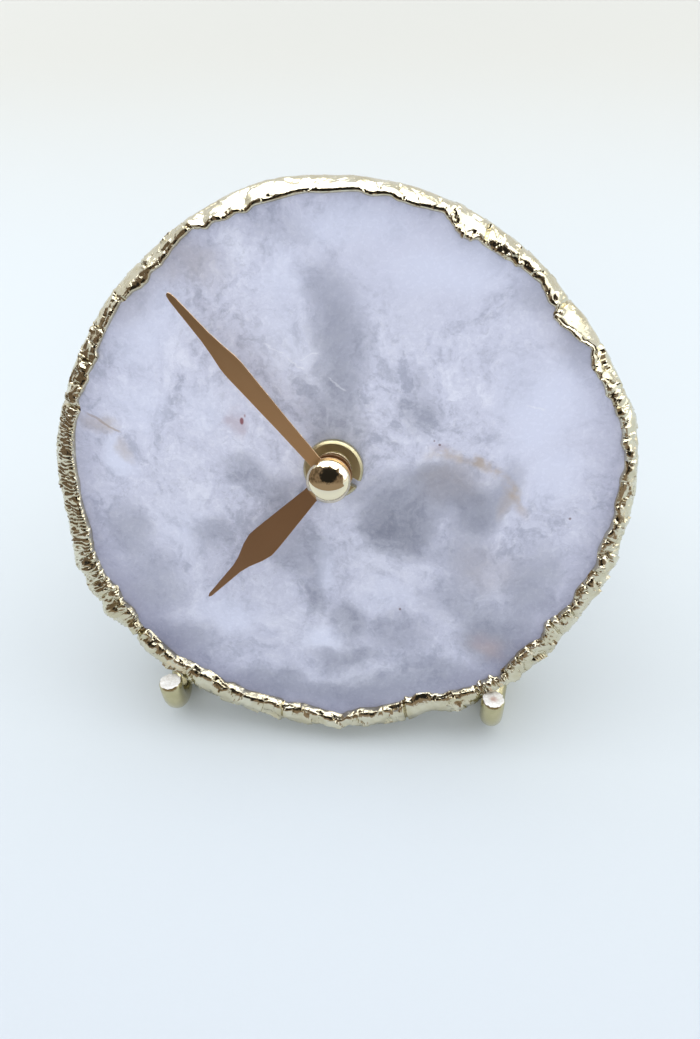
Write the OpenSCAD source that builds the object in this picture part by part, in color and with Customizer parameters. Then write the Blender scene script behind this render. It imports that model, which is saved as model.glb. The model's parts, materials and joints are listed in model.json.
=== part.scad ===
// Desk clock: a slice of pale quartz with a gilt edge, leaning on a bent-rod easel,
// with a quartz movement behind it. Millimetres, Z up, the dial faces -Y.
// The dial frame has its origin on the hand shaft at the stone's face, x to the
// right, y up the slab and z out of the face.

/* [Slab] */
// Nominal radius of the stone's visible face
slab_r = 50; // [46:1:56]
// Thickness of the stone
slab_t = 8; // [6.5:0.5:9]
// Slab centre, to the right of the hand shaft
slab_dx = 1.4; // [-3:0.1:3]
// Slab centre, above the hand shaft
slab_dy = -2.6; // [-4:0.1:3]
// Lean of the slab back from upright, degrees
lean = 26; // [22:1:30]
// Gap between the slab's lowest point and the table
table_gap = 0.3; // [0.2:0.1:1]

/* [Gilt rim] */
// How far the gilding laps over the edge of the stone's faces
rim_lap = 0.8; // [0.5:0.1:1.5]
// Height of the bead over the stone's faces
bead_h = 0.7; // [0.4:0.1:0.9]
// Depth of the broken facets in the rim
crag = 0.42; // [0.1:0.02:0.6]
// Reach of the crust beyond the visible stone
rim_reach = 4.2; // [3.4:0.1:5]

/* [Stand] */
// Diameter of the stand's rod
rod_d = 4.6; // [3.6:0.1:5]
// Distance between the two hooks
hook_span = 65.4; // [62:0.2:68]
// Middle of the hooks, to the right of the hand shaft
hook_dx = -0.8; // [-3:0.1:1]
// Height of the hook tips above the table
tip_h = 13.7; // [13:0.1:15]
// Distance of the tip's axis in front of the stone's face
tip_out = 2; // [2:0.1:4]
// Lean of the hook tips back from upright, degrees
tip_lean = 9; // [4:1:11]
// Bend radius of the hooks, on the rod's axis
hook_bend_r = 8.4; // [7:0.1:8.6]
// Bend radius of the back rest, on the rod's axis
rest_bend_r = 6; // [5:0.5:7]
// Length of the straight run on the table between the two bends
base_run = 4.6; // [4.4:0.1:6]
// Height above the table at which the back rest touches the slab
rest_h = 57; // [50:1:62]
// Gap between the back rest and the stone
rest_gap = 0.3; // [0.2:0.05:0.5]
// Slope of the rear leg from upright, degrees
leg_slope = 27; // [22:1:34]
// Outward turn of each side frame, degrees
splay = 10; // [4:1:12]
// Diameter of the cross bars
bar_d = 4; // [3:0.1:4.4]
// Height of the rear cross bar above the table
rear_bar_h = 12; // [9:1:16]
// Chamfer on the cut rod ends
rod_chamfer = 0.35; // [0.1:0.05:0.6]

/* [Dial hardware] */
// Outer diameter of the slotted nut
nut_d = 11; // [10:0.1:12]
// Height of the slotted nut
nut_h = 1.8; // [1.2:0.1:2]
// Width of the nut's slots
nut_slot_w = 1.5; // [1:0.1:2]
// Depth of the nut's slots, in from its edge
nut_slot_in = 1.6; // [1:0.1:1.7]
// Direction of the nut's slots, degrees
nut_turn = -30; // [-90:5:90]
// Bevel round the nut's top edge
nut_bevel = 0.5; // [0.2:0.1:0.8]
// Outer diameter of the threaded bushing
bushing_d = 7; // [6.6:0.1:7.4]
// How far the bushing stands out of the nut
bushing_out = 0.6; // [0.2:0.1:1.2]
// Diameter of the cap over the hand shaft
cap_d = 7.8; // [7:0.1:9]
// Height of the cap's widest ring above the minute hand
cap_waist_h = 2; // [1:0.1:2.4]

/* [Hands] */
// Length of the minute hand from the shaft to its tip
minute_len = 41.5; // [36:0.5:44]
// Greatest width of the minute hand
minute_w = 3.7; // [3:0.1:5]
// Distance of the minute hand in front of the stone
minute_z = 6.45; // [6:0.05:7]
// Minute hand's direction at rest, degrees from 3 o'clock, anticlockwise
minute_rest = 131; // [0:1:359]
// Length of the hour hand from the shaft to its tip
hour_len = 34.4; // [28:0.2:36]
// Greatest width of the hour hand
hour_w = 5.8; // [4:0.1:7]
// Distance of the hour hand in front of the stone
hour_z = 4.45; // [4:0.05:5]
// Hour hand's direction at rest, degrees from 3 o'clock, anticlockwise
hour_rest = 226.7; // [0:0.1:359]
// Thickness of both hands
hand_t = 0.3; // [0.2:0.05:0.5]
// Diameter of the round boss of each hand
hand_hub_d = 7.6; // [6.4:0.1:8]

/* [Movement case] */
// Width and height of the square case
case_w = 56; // [55:0.5:60]
// Depth of the case
case_t = 16; // [16:0.2:18]
// Wall of the case
case_wall = 1.4; // [1.2:0.1:1.5]
// Radius of the case's corners
case_corner_r = 3.5; // [2:0.5:5]
// Thickness of the rubber gasket
gasket_t = 0.6; // [0.4:0.1:1]
// Diameter of the rubber gasket
gasket_d = 20; // [14:1:26]
// Diameter of the setting knob
knob_d = 9.6; // [8:0.2:12]
// Length of the setting knob
knob_h = 3.6; // [2.5:0.1:5]

/* [Battery] */
// Diameter of the AA cell
cell_d = 14.2; // [13.8:0.1:14.4]
// Length of the cell's can
cell_len = 49.2; // [48.4:0.1:49.4]
// Length of the cell's nub
nub_len = 1.3; // [1:0.1:1.5]
// Diameter of the cell's nub
nub_d = 5.5; // [4.2:0.1:5.8]
// Height of the spring leaf's dome behind the cell
leaf_h = 1.9; // [1.2:0.1:2.4]

/* [Gear train] */
// Module of the motion work's teeth
m_motion = 0.4; // [0.38:0.005:0.405]
// Module of the teeth between the fifth wheel and the rotor
m_rotor = 0.3; // [0.28:0.005:0.31]
// Module of the teeth between the seconds wheel and the fifth pinion
m_fifth = 0.32; // [0.318:0.001:0.33]
// Thickness of the train's wheels
wheel_t = 0.7; // [0.5:0.05:0.75]
// Thickness of the motion work's wheels
motion_t = 1; // [0.8:0.05:1.05]
// Axial gap between neighbouring wheels
layer_gap = 0.3; // [0.2:0.05:0.32]
// Direction of the third wheel from the shaft, degrees
third_dir = 140; // [135:1:145]
// Direction of the fifth wheel from the shaft, degrees
fifth_dir = 60; // [56:1:64]
// Direction of the rotor from the fifth wheel, degrees
rotor_dir = 20; // [14:1:26]

/* [Motor and circuit] */
// Diameter of the rotor's magnet
magnet_d = 6; // [5:0.1:6.4]
// Length of the rotor's magnet
magnet_h = 1.8; // [1.2:0.1:2]
// Thickness of the stator plate and of the coil core
stator_t = 0.8; // [0.6:0.05:0.9]
// Gap between the magnet and the stator
magnet_gap = 0.7; // [0.4:0.05:0.9]
// Diameter of the coil's winding
winding_d = 5.8; // [5:0.1:6]
// Length of the coil's winding
winding_len = 21; // [18:0.5:23]
// Thickness of the circuit board
board_t = 0.8; // [0.6:0.1:1]
// Width of the circuit board
board_w = 8; // [7:0.2:8.6]
// Height of the circuit board
board_h = 31; // [26:1:33]

/* [Hidden] */

$fn = 64;
// Overrun of every cut past the solid that it cuts
over = 1;
// Radial clearance of a shaft that turns in a bore
run_fit = 0.04;
// Radial clearance of pieces that are clamped or pressed together
seat_fit = 0.02;
// Radial clearance of the bushing in the stone's bore and in the gasket
bore_fit = 0.3;
full_turn = 360;
half_turn = 180;
quarter_turn = 90;

// Visible stone, as shares of slab_r, every 20 degrees from 3 o'clock
face_shares = [1.005, 1.002, 0.954, 0.956, 0.99, 1.002, 0.998, 0.99, 1.002,
    1.016, 1.028, 1.038, 1.002, 0.988, 0.978, 0.984, 0.972, 0.986];
// Reach of the crust beyond the visible stone, as shares of rim_reach, likewise
reach_shares = [0.93, 0.7, 0.84, 0.93, 0.72, 0.74, 0.79, 0.88, 0.98,
    1.1, 1.3, 1.27, 1.42, 1.36, 1.26, 1.22, 1.32, 1.07];
share_step = full_turn / len(face_shares);
rim_stations = 144;
station_step = full_turn / rim_stations;

// Smooth curve through a ring of shares, read at angle a
function ring_share(shares, a) =
    let (n = len(shares), s = a / share_step, i = floor(s), f = s - i,
        p0 = shares[(i + n - 1) % n], p1 = shares[i % n],
        p2 = shares[(i + 1) % n], p3 = shares[(i + 2) % n])
    p1 + f * (p2 - p0 + f * (2 * p0 - 5 * p1 + 4 * p2 - p3
        + f * (3 * p1 - 3 * p2 + p3 - p0))) / 2;

function face_r(a) = slab_r * ring_share(face_shares, a);
function reach(a) = rim_reach * ring_share(reach_shares, a);
// Broken facets: waves of unlike length that never quite line up
function crag_wave(a, k) = sin(23 * a + 71 * k) * 0.4 + sin(37 * a + 133 * k) * 0.34
    + sin(52 * a - 97 * k) * 0.26;
function around(r, a) = [slab_dx + r * cos(a), slab_dy + r * sin(a)];

back_z = -slab_t;
// Section of the gilt rim: each row is a share of the reach beyond the visible stone,
// a share of the slab's thickness back from the face, a share of the bead's height
// and a share of the crag depth
rim_rows_shares = [[0, 0, 0.25, 0], [0.1, 0, 0.85, 0], [0.22, 0, 1, 0], [0.34, 0, 0.55, 0.2],
    [0.48, 0.04, 0, 0.7], [0.72, 0.14, 0, 1], [0.93, 0.3, 0, 1], [1, 0.52, 0, 0.9],
    [0.9, 0.76, 0, 1], [0.62, 0.95, 0, 0.8], [0.34, 1, -0.55, 0.3], [0.16, 1, -1, 0],
    [0, 1, -0.35, 0]];
rim_rows = len(rim_rows_shares);
function rim_point(a, j) =
    let (row = rim_rows_shares[j],
        r = face_r(a) + row[0] * reach(a) + row[3] * crag * crag_wave(a, j),
        z = -row[1] * slab_t + row[2] * bead_h
            + row[3] * crag * crag_wave(a, j + rim_rows) / 2)
    concat(around(r, a), z);
// The channel that holds the stone: behind the back lap and behind the front lap
function channel_point(a, front) =
    concat(around(face_r(a) + rim_lap + seat_fit, a),
        front ? seat_fit : back_z - seat_fit);
function lap_point(a, front) =
    concat(around(face_r(a), a), front ? seat_fit : back_z - seat_fit);
function rim_ring(a) = concat([lap_point(a, true)],
    [for (j = [0 : rim_rows - 1]) rim_point(a, j)],
    [lap_point(a, false), channel_point(a, false), channel_point(a, true)]);
rim_angles = [for (i = [0 : rim_stations - 1]) i * station_step];
rim_rings = [for (a = rim_angles) rim_ring(a)];
ring_n = rim_rows + 4;

// Places in the stand's frame from places in the dial frame, before the shaft is set
function height_of(p) = p[1] * cos(lean) + p[2] * sin(lean);
function depth_of(p) = p[1] * sin(lean) - p[2] * cos(lean);
rim_low = min([for (ring = rim_rings) for (p = ring) height_of(p)]);
rim_front = min([for (ring = rim_rings) for (p = ring) depth_of(p)]);
rim_left = min([for (ring = rim_rings) for (p = ring) p[0]]);
rim_right = max([for (ring = rim_rings) for (p = ring) p[0]]);

// Height of the hand shaft at the stone's face above the table
shaft_z = table_gap - rim_low;
shaft_x = -(rim_left + rim_right) / 2;

// Side frame of the stand, in its own upright plane: s runs back from the tip, z up.
// A heading is the rod's direction there, in degrees above the s axis.
rod_r = rod_d / 2;
bar_r = bar_d / 2;
// Depth of the tip's axis behind the shaft
tip_depth = ((tip_h - shaft_z) * sin(lean) - tip_out) / cos(lean);
tip_heading = -quarter_turn - tip_lean;
hook_corner_s = -(tip_h - rod_r) * tan(tip_lean);
hook_centre = [hook_corner_s + hook_bend_r * tan(-tip_heading / 2), rod_r + hook_bend_r];
rest_centre = [hook_centre[0] + base_run, rod_r + rest_bend_r];
// Where the back rest comes nearest to the slab's back
rest_w = slab_t + rest_gap + rod_r;
rest_depth = (rest_w + (rest_h - shaft_z) * sin(lean)) / cos(lean);
rest_top = [(rest_depth - tip_depth) / cos(splay), rest_h];
rest_rise = rest_top - rest_centre;
rest_slope = atan(rest_rise[0] / rest_rise[1]) - asin(rest_bend_r / norm(rest_rise));
rest_heading = quarter_turn - rest_slope;
crest_centre = rest_top + rest_bend_r * [cos(rest_slope), -sin(rest_slope)];
leg_heading = leg_slope - quarter_turn;
leg_top = crest_centre + rest_bend_r * [cos(leg_slope), sin(leg_slope)];
function leg_at(z) = leg_top[0] + (leg_top[1] - z) * tan(leg_slope);
foot_reach = norm([rod_r / cos(leg_slope) * cos(splay), rod_r * sin(splay)]);
stand_back = tip_depth + leg_at(0) * cos(splay) + foot_reach;
hook_front = tip_depth + (hook_centre[0] - hook_bend_r) * cos(splay) - rod_r;
shaft_y = -(min(rim_front, hook_front) + stand_back) / 2;

// Stations along the rod: place, heading and radius. A bend is left or right handed.
rod_sides = 24;
bend_step = 11;
function bend(centre, r, from, to) =
    let (n = ceil(abs(to - from) / bend_step), hand = sign(to - from))
    [for (i = [0 : n]) let (h = from + (to - from) * i / n)
        [centre + hand * r * [sin(h), -cos(h)], h, rod_r]];
rod_tip = [for (back = [0, rod_chamfer])
    [[0, tip_h] + back * [cos(tip_heading), sin(tip_heading)], tip_heading,
        rod_r - rod_chamfer + back]];
rod_stations = concat(rod_tip, bend(hook_centre, hook_bend_r, tip_heading, 0),
    bend(rest_centre, rest_bend_r, 0, rest_heading),
    bend(crest_centre, rest_bend_r, rest_heading, leg_heading));
function rod_ring(station) =
    let (at = station[0], h = station[1], r = station[2])
    [for (i = [0 : rod_sides - 1]) let (q = i * full_turn / rod_sides)
        [at[0] - r * cos(q) * sin(h), r * sin(q), at[1] + r * cos(q) * cos(h)]];
// The rear leg is cut level with the table
function foot_ring() = [for (p = rod_ring([leg_top, leg_heading, rod_r]))
    [p[0] + p[2] * tan(leg_slope), p[1], 0]];

// Depths in the dial frame, from the stone's back to the case's rear wall
gasket_z = back_z - gasket_t;
case_front_z = gasket_z;
case_back_z = case_front_z - case_t;
case_in_z = case_front_z - case_wall;
case_rear_in_z = case_back_z + case_wall;
case_split_z = (case_front_z + case_back_z) / 2;
case_in = case_w / 2 - case_wall;

// Hand shaft, from outside to inside
bushing_r = bushing_d / 2;
flange_t = 0.8;
flange_w = 1.6;
flange_r = bushing_r + flange_w;
hour_tube_r = 2.5;
minute_arbor_r = 1.7;
centre_pipe_r = 1.1;
seconds_arbor_r = 0.5;
pivot_r = 0.35;
setting_arbor_r = 0.8;
// How far the hour tube and the minute arbor stand out of their hands
hour_tube_out = 0.3;
minute_arbor_out = 1.4;
hour_tube_top = hour_z + hand_t + hour_tube_out;
minute_arbor_top = minute_z + hand_t + minute_arbor_out;
seconds_arbor_top = minute_z;
centre_pipe_top = case_front_z;

// Layers of the train, each from its front face towards the rear
hour_wheel_z = case_in_z - flange_t - layer_gap;
minute_wheel_z = hour_wheel_z - motion_t - layer_gap;
plate_t = 1;
plate_z = minute_wheel_z - motion_t - layer_gap;
centre_wheel_z = plate_z - plate_t - layer_gap;
third_wheel_z = centre_wheel_z - wheel_t - layer_gap;
seconds_wheel_z = third_wheel_z - wheel_t - layer_gap;
fifth_wheel_z = seconds_wheel_z - wheel_t - layer_gap;
magnet_z = fifth_wheel_z - wheel_t - layer_gap;
pinion_extra = 0.1;
pivot_len = 1.2;
boss_r = 1.2;

// Teeth
cannon_n = 15;
minute_n = 45;
minute_pinion_n = 12;
hour_n = 48;
centre_n = 80;
pinion_n = 10;
third_n = 75;
seconds_n = 60;
fifth_n = 50;
pressure = 25;
tip_share = 0.8;
root_share = 1;
thin_share = 0.09;
// Gears of fewer teeth than this get one more point on each flank
small_gear_n = 20;

// Centre distances. The hour and minute wheels share one, and the third wheel
// stands one distance from the shaft with both of its meshes.
motion_dist = m_motion * (cannon_n + minute_n) / 2;
fifth_dist = m_fifth * (seconds_n + pinion_n) / 2;
rotor_dist = m_rotor * (fifth_n + pinion_n) / 2;
third_inset = 0.5;
third_dist = motion_dist - third_inset;
m_centre = 2 * third_dist / (centre_n + pinion_n);
m_third = 2 * third_dist / (third_n + pinion_n);
third_at = third_dist * [cos(third_dir), sin(third_dir)];
fifth_at = fifth_dist * [cos(fifth_dir), sin(fifth_dir)];
rotor_at = fifth_at + rotor_dist * [cos(rotor_dir), sin(rotor_dir)];
minute_at = [motion_dist, 0];

// Direction of a tooth of the second gear, in mesh with the first, where the second
// lies in direction dir from the first
function mesh_phase(n1, phase1, n2, dir) =
    half_turn + dir + (dir - phase1) * n1 / n2 + half_turn / n2;
minute_wheel_phase = mesh_phase(cannon_n, 0, minute_n, 0);
hour_wheel_phase = mesh_phase(minute_pinion_n, 0, hour_n, half_turn);
third_pinion_phase = mesh_phase(centre_n, 0, pinion_n, third_dir);
seconds_pinion_phase = mesh_phase(third_n, 0, pinion_n, third_dir + half_turn);
fifth_pinion_phase = mesh_phase(seconds_n, 0, pinion_n, fifth_dir);
rotor_pinion_phase = mesh_phase(fifth_n, 0, pinion_n, rotor_dir);

// Involute tooth: half its angle at radius r, on a gear of n teeth and module m
function involute(a) = tan(a) * half_turn / PI - a;
function tooth_half(n, m, r) =
    let (pitch = m * n / 2, base = pitch * cos(pressure))
    (quarter_turn - thin_share * half_turn / PI * 2) / n + involute(pressure)
        - involute(acos(min(1, base / max(r, base))));
function flank_radii(n, m) =
    let (pitch = m * n / 2, root = pitch - root_share * m, tip = pitch + tip_share * m)
    n < small_gear_n ? [root, (root + pitch) / 2, pitch, tip] : [root, pitch, tip];
function gear_points(n, m, phase) =
    let (radii = flank_radii(n, m), k = len(radii))
    [for (i = [0 : n - 1]) for (j = [0 : 2 * k - 1])
        let (up = j < k, r = radii[up ? j : 2 * k - 1 - j],
            a = phase + i * full_turn / n + (up ? -1 : 1) * tooth_half(n, m, r))
        [r * cos(a), r * sin(a)]];
function tip_radius(n, m) = m * (n / 2 + tip_share);

// Battery bay, in the lower part of the case, as long as the cell with its contacts
bay_fit = 0.3;
contact_t = 0.4;
contact_w = 9;
bay_half = (cell_len + nub_len + leaf_h) / 2 + contact_t;
cell_r = cell_d / 2;
bay_low = -case_in;
bay_high = bay_low + cell_d + 2 * bay_fit;
bay_wall = 1;
cell_y = (bay_low + bay_high) / 2;
cell_z = case_in_z - bay_fit - cell_r;
nub_end_x = bay_half - contact_t;
can_end_x = nub_end_x - nub_len;
can_start_x = can_end_x - cell_len;

// Motor: the stator is a U of sheet, the coil's core lies across its two legs
magnet_r = magnet_d / 2;
stator_z = magnet_z - (magnet_h - stator_t) / 2;
stator_ring_w = 1.9;
stator_ring_r = magnet_r + magnet_gap + stator_ring_w;
stator_leg_w = 4;
stator_left = -16;
stator_right = rotor_at[0] + stator_ring_r;
stator_bar_up = 0.5;
stator_bar_y = rotor_at[1] + stator_bar_up;
core_margin = 2;
core_y = case_in - core_margin - stator_leg_w;
coil_y = core_y + stator_leg_w / 2;
core_z = stator_z + stator_t;
coil_z = core_z - stator_t / 2;
bobbin_flange_t = 0.8;
bobbin_wall = 0.5;
bobbin_fit = 0.1;
coil_mid_x = (stator_left + stator_right) / 2;
bobbin_len = winding_len + 2 * bobbin_flange_t;
bobbin_flange_over = 0.3;
bobbin_flange_r = winding_d / 2 + bobbin_flange_over;
core_neck = 1;
bobbin_bore_w = stator_leg_w - core_neck;
bobbin_tube_r = bobbin_bore_w / 2 + bobbin_wall;

// Circuit board at the case's left wall
wall_gap = 0.3;
board_stand = 2;
board_left = -case_in + wall_gap;
board_low = bay_high + bay_wall + 2 * wall_gap;
board_z = case_rear_in_z + board_stand;
board_mid = [board_left + board_w / 2, board_low + board_h / 2];
blob_r = 2.6;
blob_h = 1.1;
crystal_r = 1;
crystal_len = 6;
post_r = 1.5;
post_in = 3.4;
plate_corner = case_in - post_in;

// Hands, as shares: distance from the shaft over the hand's length, half width
// over the hand's greatest width
minute_hand_shares = [[0, 0.28], [0.3, 0.37], [0.5, 0.46], [0.6, 0.5], [0.64, 0.48],
    [0.7, 0.37], [0.775, 0.27], [0.88, 0.21], [0.97, 0.16], [0.993, 0.11], [1, 0.04]];
hour_hand_shares = [[0, 0.22], [0.16, 0.26], [0.34, 0.38], [0.5, 0.48], [0.56, 0.5],
    [0.62, 0.42], [0.7, 0.24], [0.76, 0.16], [0.9, 0.1], [0.985, 0.06], [1, 0.02]];

module in_dial() {
    translate([shaft_x, shaft_y, shaft_z]) rotate([quarter_turn - lean, 0, 0]) children();
}

// A disc or tube in the dial frame, from z1 to z2, r_in may be zero
module tube(r_out, r_in, z1, z2) {
    low = min(z1, z2);
    high = max(z1, z2);
    translate([0, 0, low]) difference() {
        cylinder(r = r_out, h = high - low);
        if (r_in > 0) translate([0, 0, -over]) cylinder(r = r_in, h = high - low + 2 * over);
    }
}

module gear(n, m, phase, z_front, t) {
    translate([0, 0, z_front - t]) linear_extrude(t) polygon(gear_points(n, m, phase));
}

module quartz_slab() {
    color("#d9d6e0") in_dial() difference() {
        translate([0, 0, back_z]) linear_extrude(slab_t)
            polygon([for (a = rim_angles) around(face_r(a) + rim_lap, a)]);
        tube(bushing_r + bore_fit, 0, back_z - over, over);
    }
}

module gilt_rim() {
    points = [for (ring = rim_rings) for (p = ring) p];
    faces = [for (i = [0 : rim_stations - 1]) for (j = [0 : ring_n - 1]) for (half = [0, 1])
        let (here = i * ring_n, next = ((i + 1) % rim_stations) * ring_n,
            k = (j + 1) % ring_n)
        half == 0 ? [here + j, next + j, next + k] : [here + j, next + k, here + k]];
    color("#c9b98a") in_dial() polyhedron(points, faces);
}

// One side of the easel. Its upright plane turns outwards behind the hook's tip.
module in_side_frame(side) {
    translate([shaft_x + hook_dx + side * hook_span / 2, shaft_y + tip_depth, 0])
        rotate([0, 0, quarter_turn - side * splay]) children();
}

// A round rod bent into a hook, a run on the table, a back rest and a rear leg
module side_rod(side) {
    rings = concat([for (station = rod_stations) rod_ring(station)], [foot_ring()]);
    last = len(rings) - 1;
    points = [for (ring = rings) for (p = ring) p];
    walls = [for (i = [0 : last - 1]) for (j = [0 : rod_sides - 1]) for (half = [0, 1])
        let (here = i * rod_sides, next = here + rod_sides, k = (j + 1) % rod_sides)
        half == 0 ? [here + j, here + k, next + k] : [here + j, next + k, next + j]];
    tip_face = [for (j = [rod_sides - 1 : -1 : 0]) j];
    foot_face = [for (j = [0 : rod_sides - 1]) last * rod_sides + j];
    in_side_frame(side) polyhedron(points, concat(walls, [tip_face, foot_face]));
}

module left_side_rod() { color("#cdbb83") side_rod(-1); }
module right_side_rod() { color("#cdbb83") side_rod(1); }

// A bar between the two side frames, s behind the tips, coped to the rods' round,
// where the rods have the given heading
module cross_bar(s, z, heading) {
    half = hook_span / 2 + s * sin(splay);
    difference() {
        translate([shaft_x + hook_dx - half, shaft_y + tip_depth + s * cos(splay), z])
            rotate([0, quarter_turn, 0]) cylinder(r = bar_r, h = 2 * half);
        for (side = [-1, 1]) in_side_frame(side) translate([s, 0, z])
            rotate([0, quarter_turn - heading, 0])
                cylinder(r = rod_r + seat_fit, h = 4 * rod_d, center = true);
    }
}

module base_cross_bar() {
    color("#cdbb83") cross_bar(rest_centre[0] - bar_r, rod_r, 0);
}

module rear_cross_bar() {
    color("#cdbb83") cross_bar(leg_at(rear_bar_h), rear_bar_h, leg_heading);
}

module case_outline(w) {
    r = case_corner_r - (case_w - w) / 2;
    span = w / 2 - r;
    square([w, 2 * span], center = true);
    square([2 * span, w], center = true);
    for (x = [-span, span]) for (y = [-span, span]) translate([x, y]) circle(r = r);
}

// The battery bay with its walls, rounded at its lower corners like the case
module bay_outline() {
    r = case_corner_r;
    half = bay_half + case_wall;
    low = bay_low - case_wall;
    translate([-half, low + r]) square([2 * half, bay_high + bay_wall - low - r]);
    translate([r - half, low]) square([2 * (half - r), r]);
    for (x = [r - half, half - r]) translate([x, low + r]) circle(r = r);
}

module bay_room() {
    translate([-bay_half, bay_low]) square([2 * bay_half, bay_high - bay_low]);
}

// Half of the case's side walls with the battery bay's walls, from z_low up by h
module case_walls(z_low, h) {
    translate([0, 0, z_low]) linear_extrude(h) difference() {
        union() {
            case_outline(case_w);
            bay_outline();
        }
        difference() {
            case_outline(2 * case_in);
            bay_outline();
        }
        bay_room();
    }
}

module front_case() {
    post_len = case_in_z - plate_z;
    color("#2b2b2d") in_dial() difference() {
        union() {
            translate([0, 0, case_in_z]) linear_extrude(case_wall) {
                case_outline(case_w);
                bay_outline();
            }
            case_walls(case_split_z, case_in_z - case_split_z);
            for (x = [-plate_corner, plate_corner])
                for (y = [bay_high + bay_wall + post_in, plate_corner])
                    translate([x, y, plate_z]) cylinder(r = post_r, h = post_len);
        }
        tube(bushing_r + seat_fit, 0, case_in_z - over, case_front_z + over);
        translate(minute_at)
            tube(pivot_r + run_fit, 0, case_in_z - over, case_front_z - case_wall / 2);
    }
}

module rear_case() {
    color("#2b2b2d") in_dial() difference() {
        union() {
            case_walls(case_rear_in_z, case_split_z - case_rear_in_z);
            translate([0, 0, case_back_z]) linear_extrude(case_wall) difference() {
                union() {
                    case_outline(case_w);
                    bay_outline();
                }
                bay_room();
            }
            translate(third_at) tube(boss_r, 0, case_rear_in_z, third_wheel_z - wheel_t - layer_gap);
            tube(boss_r, 0, case_rear_in_z, seconds_wheel_z - wheel_t - layer_gap);
            translate(fifth_at) tube(boss_r, 0, case_rear_in_z, fifth_wheel_z - wheel_t - layer_gap);
            translate(rotor_at) tube(boss_r, 0, case_rear_in_z, magnet_z - magnet_h - layer_gap);
            for (x = [stator_left + stator_leg_w / 2, stator_right - stator_leg_w / 2])
                translate([x, coil_y]) tube(post_r, 0, case_rear_in_z, stator_z - stator_t);
            for (y = [board_low + post_r, board_low + board_h - post_r])
                translate([board_mid[0], y]) tube(post_r, 0, case_rear_in_z, board_z);
        }
        translate(third_at) tube(pivot_r + run_fit, 0, case_rear_in_z, 0);
        tube(seconds_arbor_r + run_fit, 0, case_rear_in_z, 0);
        translate(fifth_at) tube(pivot_r + run_fit, 0, case_rear_in_z, 0);
        translate(rotor_at) tube(pivot_r + run_fit, 0, case_rear_in_z, 0);
        translate(minute_at)
            tube(setting_arbor_r + run_fit, 0, case_back_z - over, case_rear_in_z + over);
    }
}

module threaded_bushing() {
    color("#d8c9a0") in_dial() {
        tube(bushing_r, hour_tube_r + run_fit, case_in_z, nut_h + bushing_out);
        tube(flange_r, hour_tube_r + run_fit, case_in_z - flange_t, case_in_z);
    }
}

module rubber_gasket() {
    color("#1d1d1f") in_dial() tube(gasket_d / 2, bushing_r + bore_fit, gasket_z, back_z);
}

module slotted_nut() {
    r = nut_d / 2;
    color("#b9a35c") in_dial() difference() {
        rotate_extrude() polygon([[bushing_r + seat_fit, 0], [r, 0], [r, nut_h - nut_bevel],
            [r - nut_bevel, nut_h], [bushing_r + seat_fit, nut_h]]);
        rotate([0, 0, nut_turn]) for (side = [-1, 1])
            translate([side * (r - nut_slot_in / 2 + over / 2), 0, nut_h / 2])
                cube([nut_slot_in + over, nut_slot_w, nut_h + over], center = true);
    }
}

module hand_outline(shares, len_all, w) {
    polygon(concat([for (s = shares) [s[0] * len_all, s[1] * w]],
        [for (i = [len(shares) - 1 : -1 : 0]) [shares[i][0] * len_all, -shares[i][1] * w]]));
}

module hand(shares, len_all, w, z, rest, bore_r) {
    in_dial() rotate([0, 0, rest]) translate([0, 0, z]) difference() {
        union() {
            linear_extrude(hand_t) hand_outline(shares, len_all, w);
            cylinder(d = hand_hub_d, h = hand_t);
        }
        translate([0, 0, -over]) cylinder(r = bore_r, h = hand_t + 2 * over);
    }
}

module hour_hand() {
    color("#8a5a38") hand(hour_hand_shares, hour_len, hour_w, hour_z, hour_rest,
        hour_tube_r + seat_fit);
}

module minute_hand() {
    color("#b5835c") hand(minute_hand_shares, minute_len, minute_w, minute_z, minute_rest,
        minute_arbor_r + seat_fit);
}

// Polished cap nut: a ball flattened where it sits on the minute hand
module shaft_cap() {
    r = cap_d / 2;
    base_z = minute_z + hand_t;
    bore_top = minute_arbor_top + seat_fit;
    color("#dccfa6") in_dial() difference() {
        intersection() {
            translate([0, 0, base_z + cap_waist_h]) sphere(r = r);
            tube(r + over, 0, base_z, base_z + 2 * r);
        }
        tube(minute_arbor_r + seat_fit, 0, base_z - over, bore_top);
    }
}

module hour_wheel() {
    color("#e8e2d0") in_dial() {
        difference() {
            gear(hour_n, m_motion, hour_wheel_phase, hour_wheel_z, motion_t);
            tube(minute_arbor_r + run_fit, 0, hour_wheel_z + over, hour_wheel_z - motion_t - over);
        }
        tube(hour_tube_r, minute_arbor_r + run_fit, hour_wheel_z, hour_tube_top);
    }
}

module cannon_pinion() {
    color("#d8c48a") in_dial() difference() {
        union() {
            gear(cannon_n, m_motion, 0, minute_wheel_z, motion_t);
            tube(minute_arbor_r, 0, minute_wheel_z - motion_t, minute_arbor_top);
        }
        low = minute_wheel_z - motion_t - over;
        tube(seconds_arbor_r + run_fit, 0, low, seconds_arbor_top + pivot_len);
        tube(centre_pipe_r + run_fit, 0, low, centre_pipe_top + run_fit);
    }
}

module minute_wheel() {
    color("#ded8c6") in_dial() translate(minute_at) {
        gear(minute_n, m_motion, minute_wheel_phase, minute_wheel_z, motion_t);
        gear(minute_pinion_n, m_motion, 0, hour_wheel_z, motion_t + layer_gap);
        tube(pivot_r, 0, hour_wheel_z, case_in_z + case_wall / 3);
        tube(setting_arbor_r, 0, minute_wheel_z - motion_t, case_back_z - knob_h);
    }
}

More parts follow.
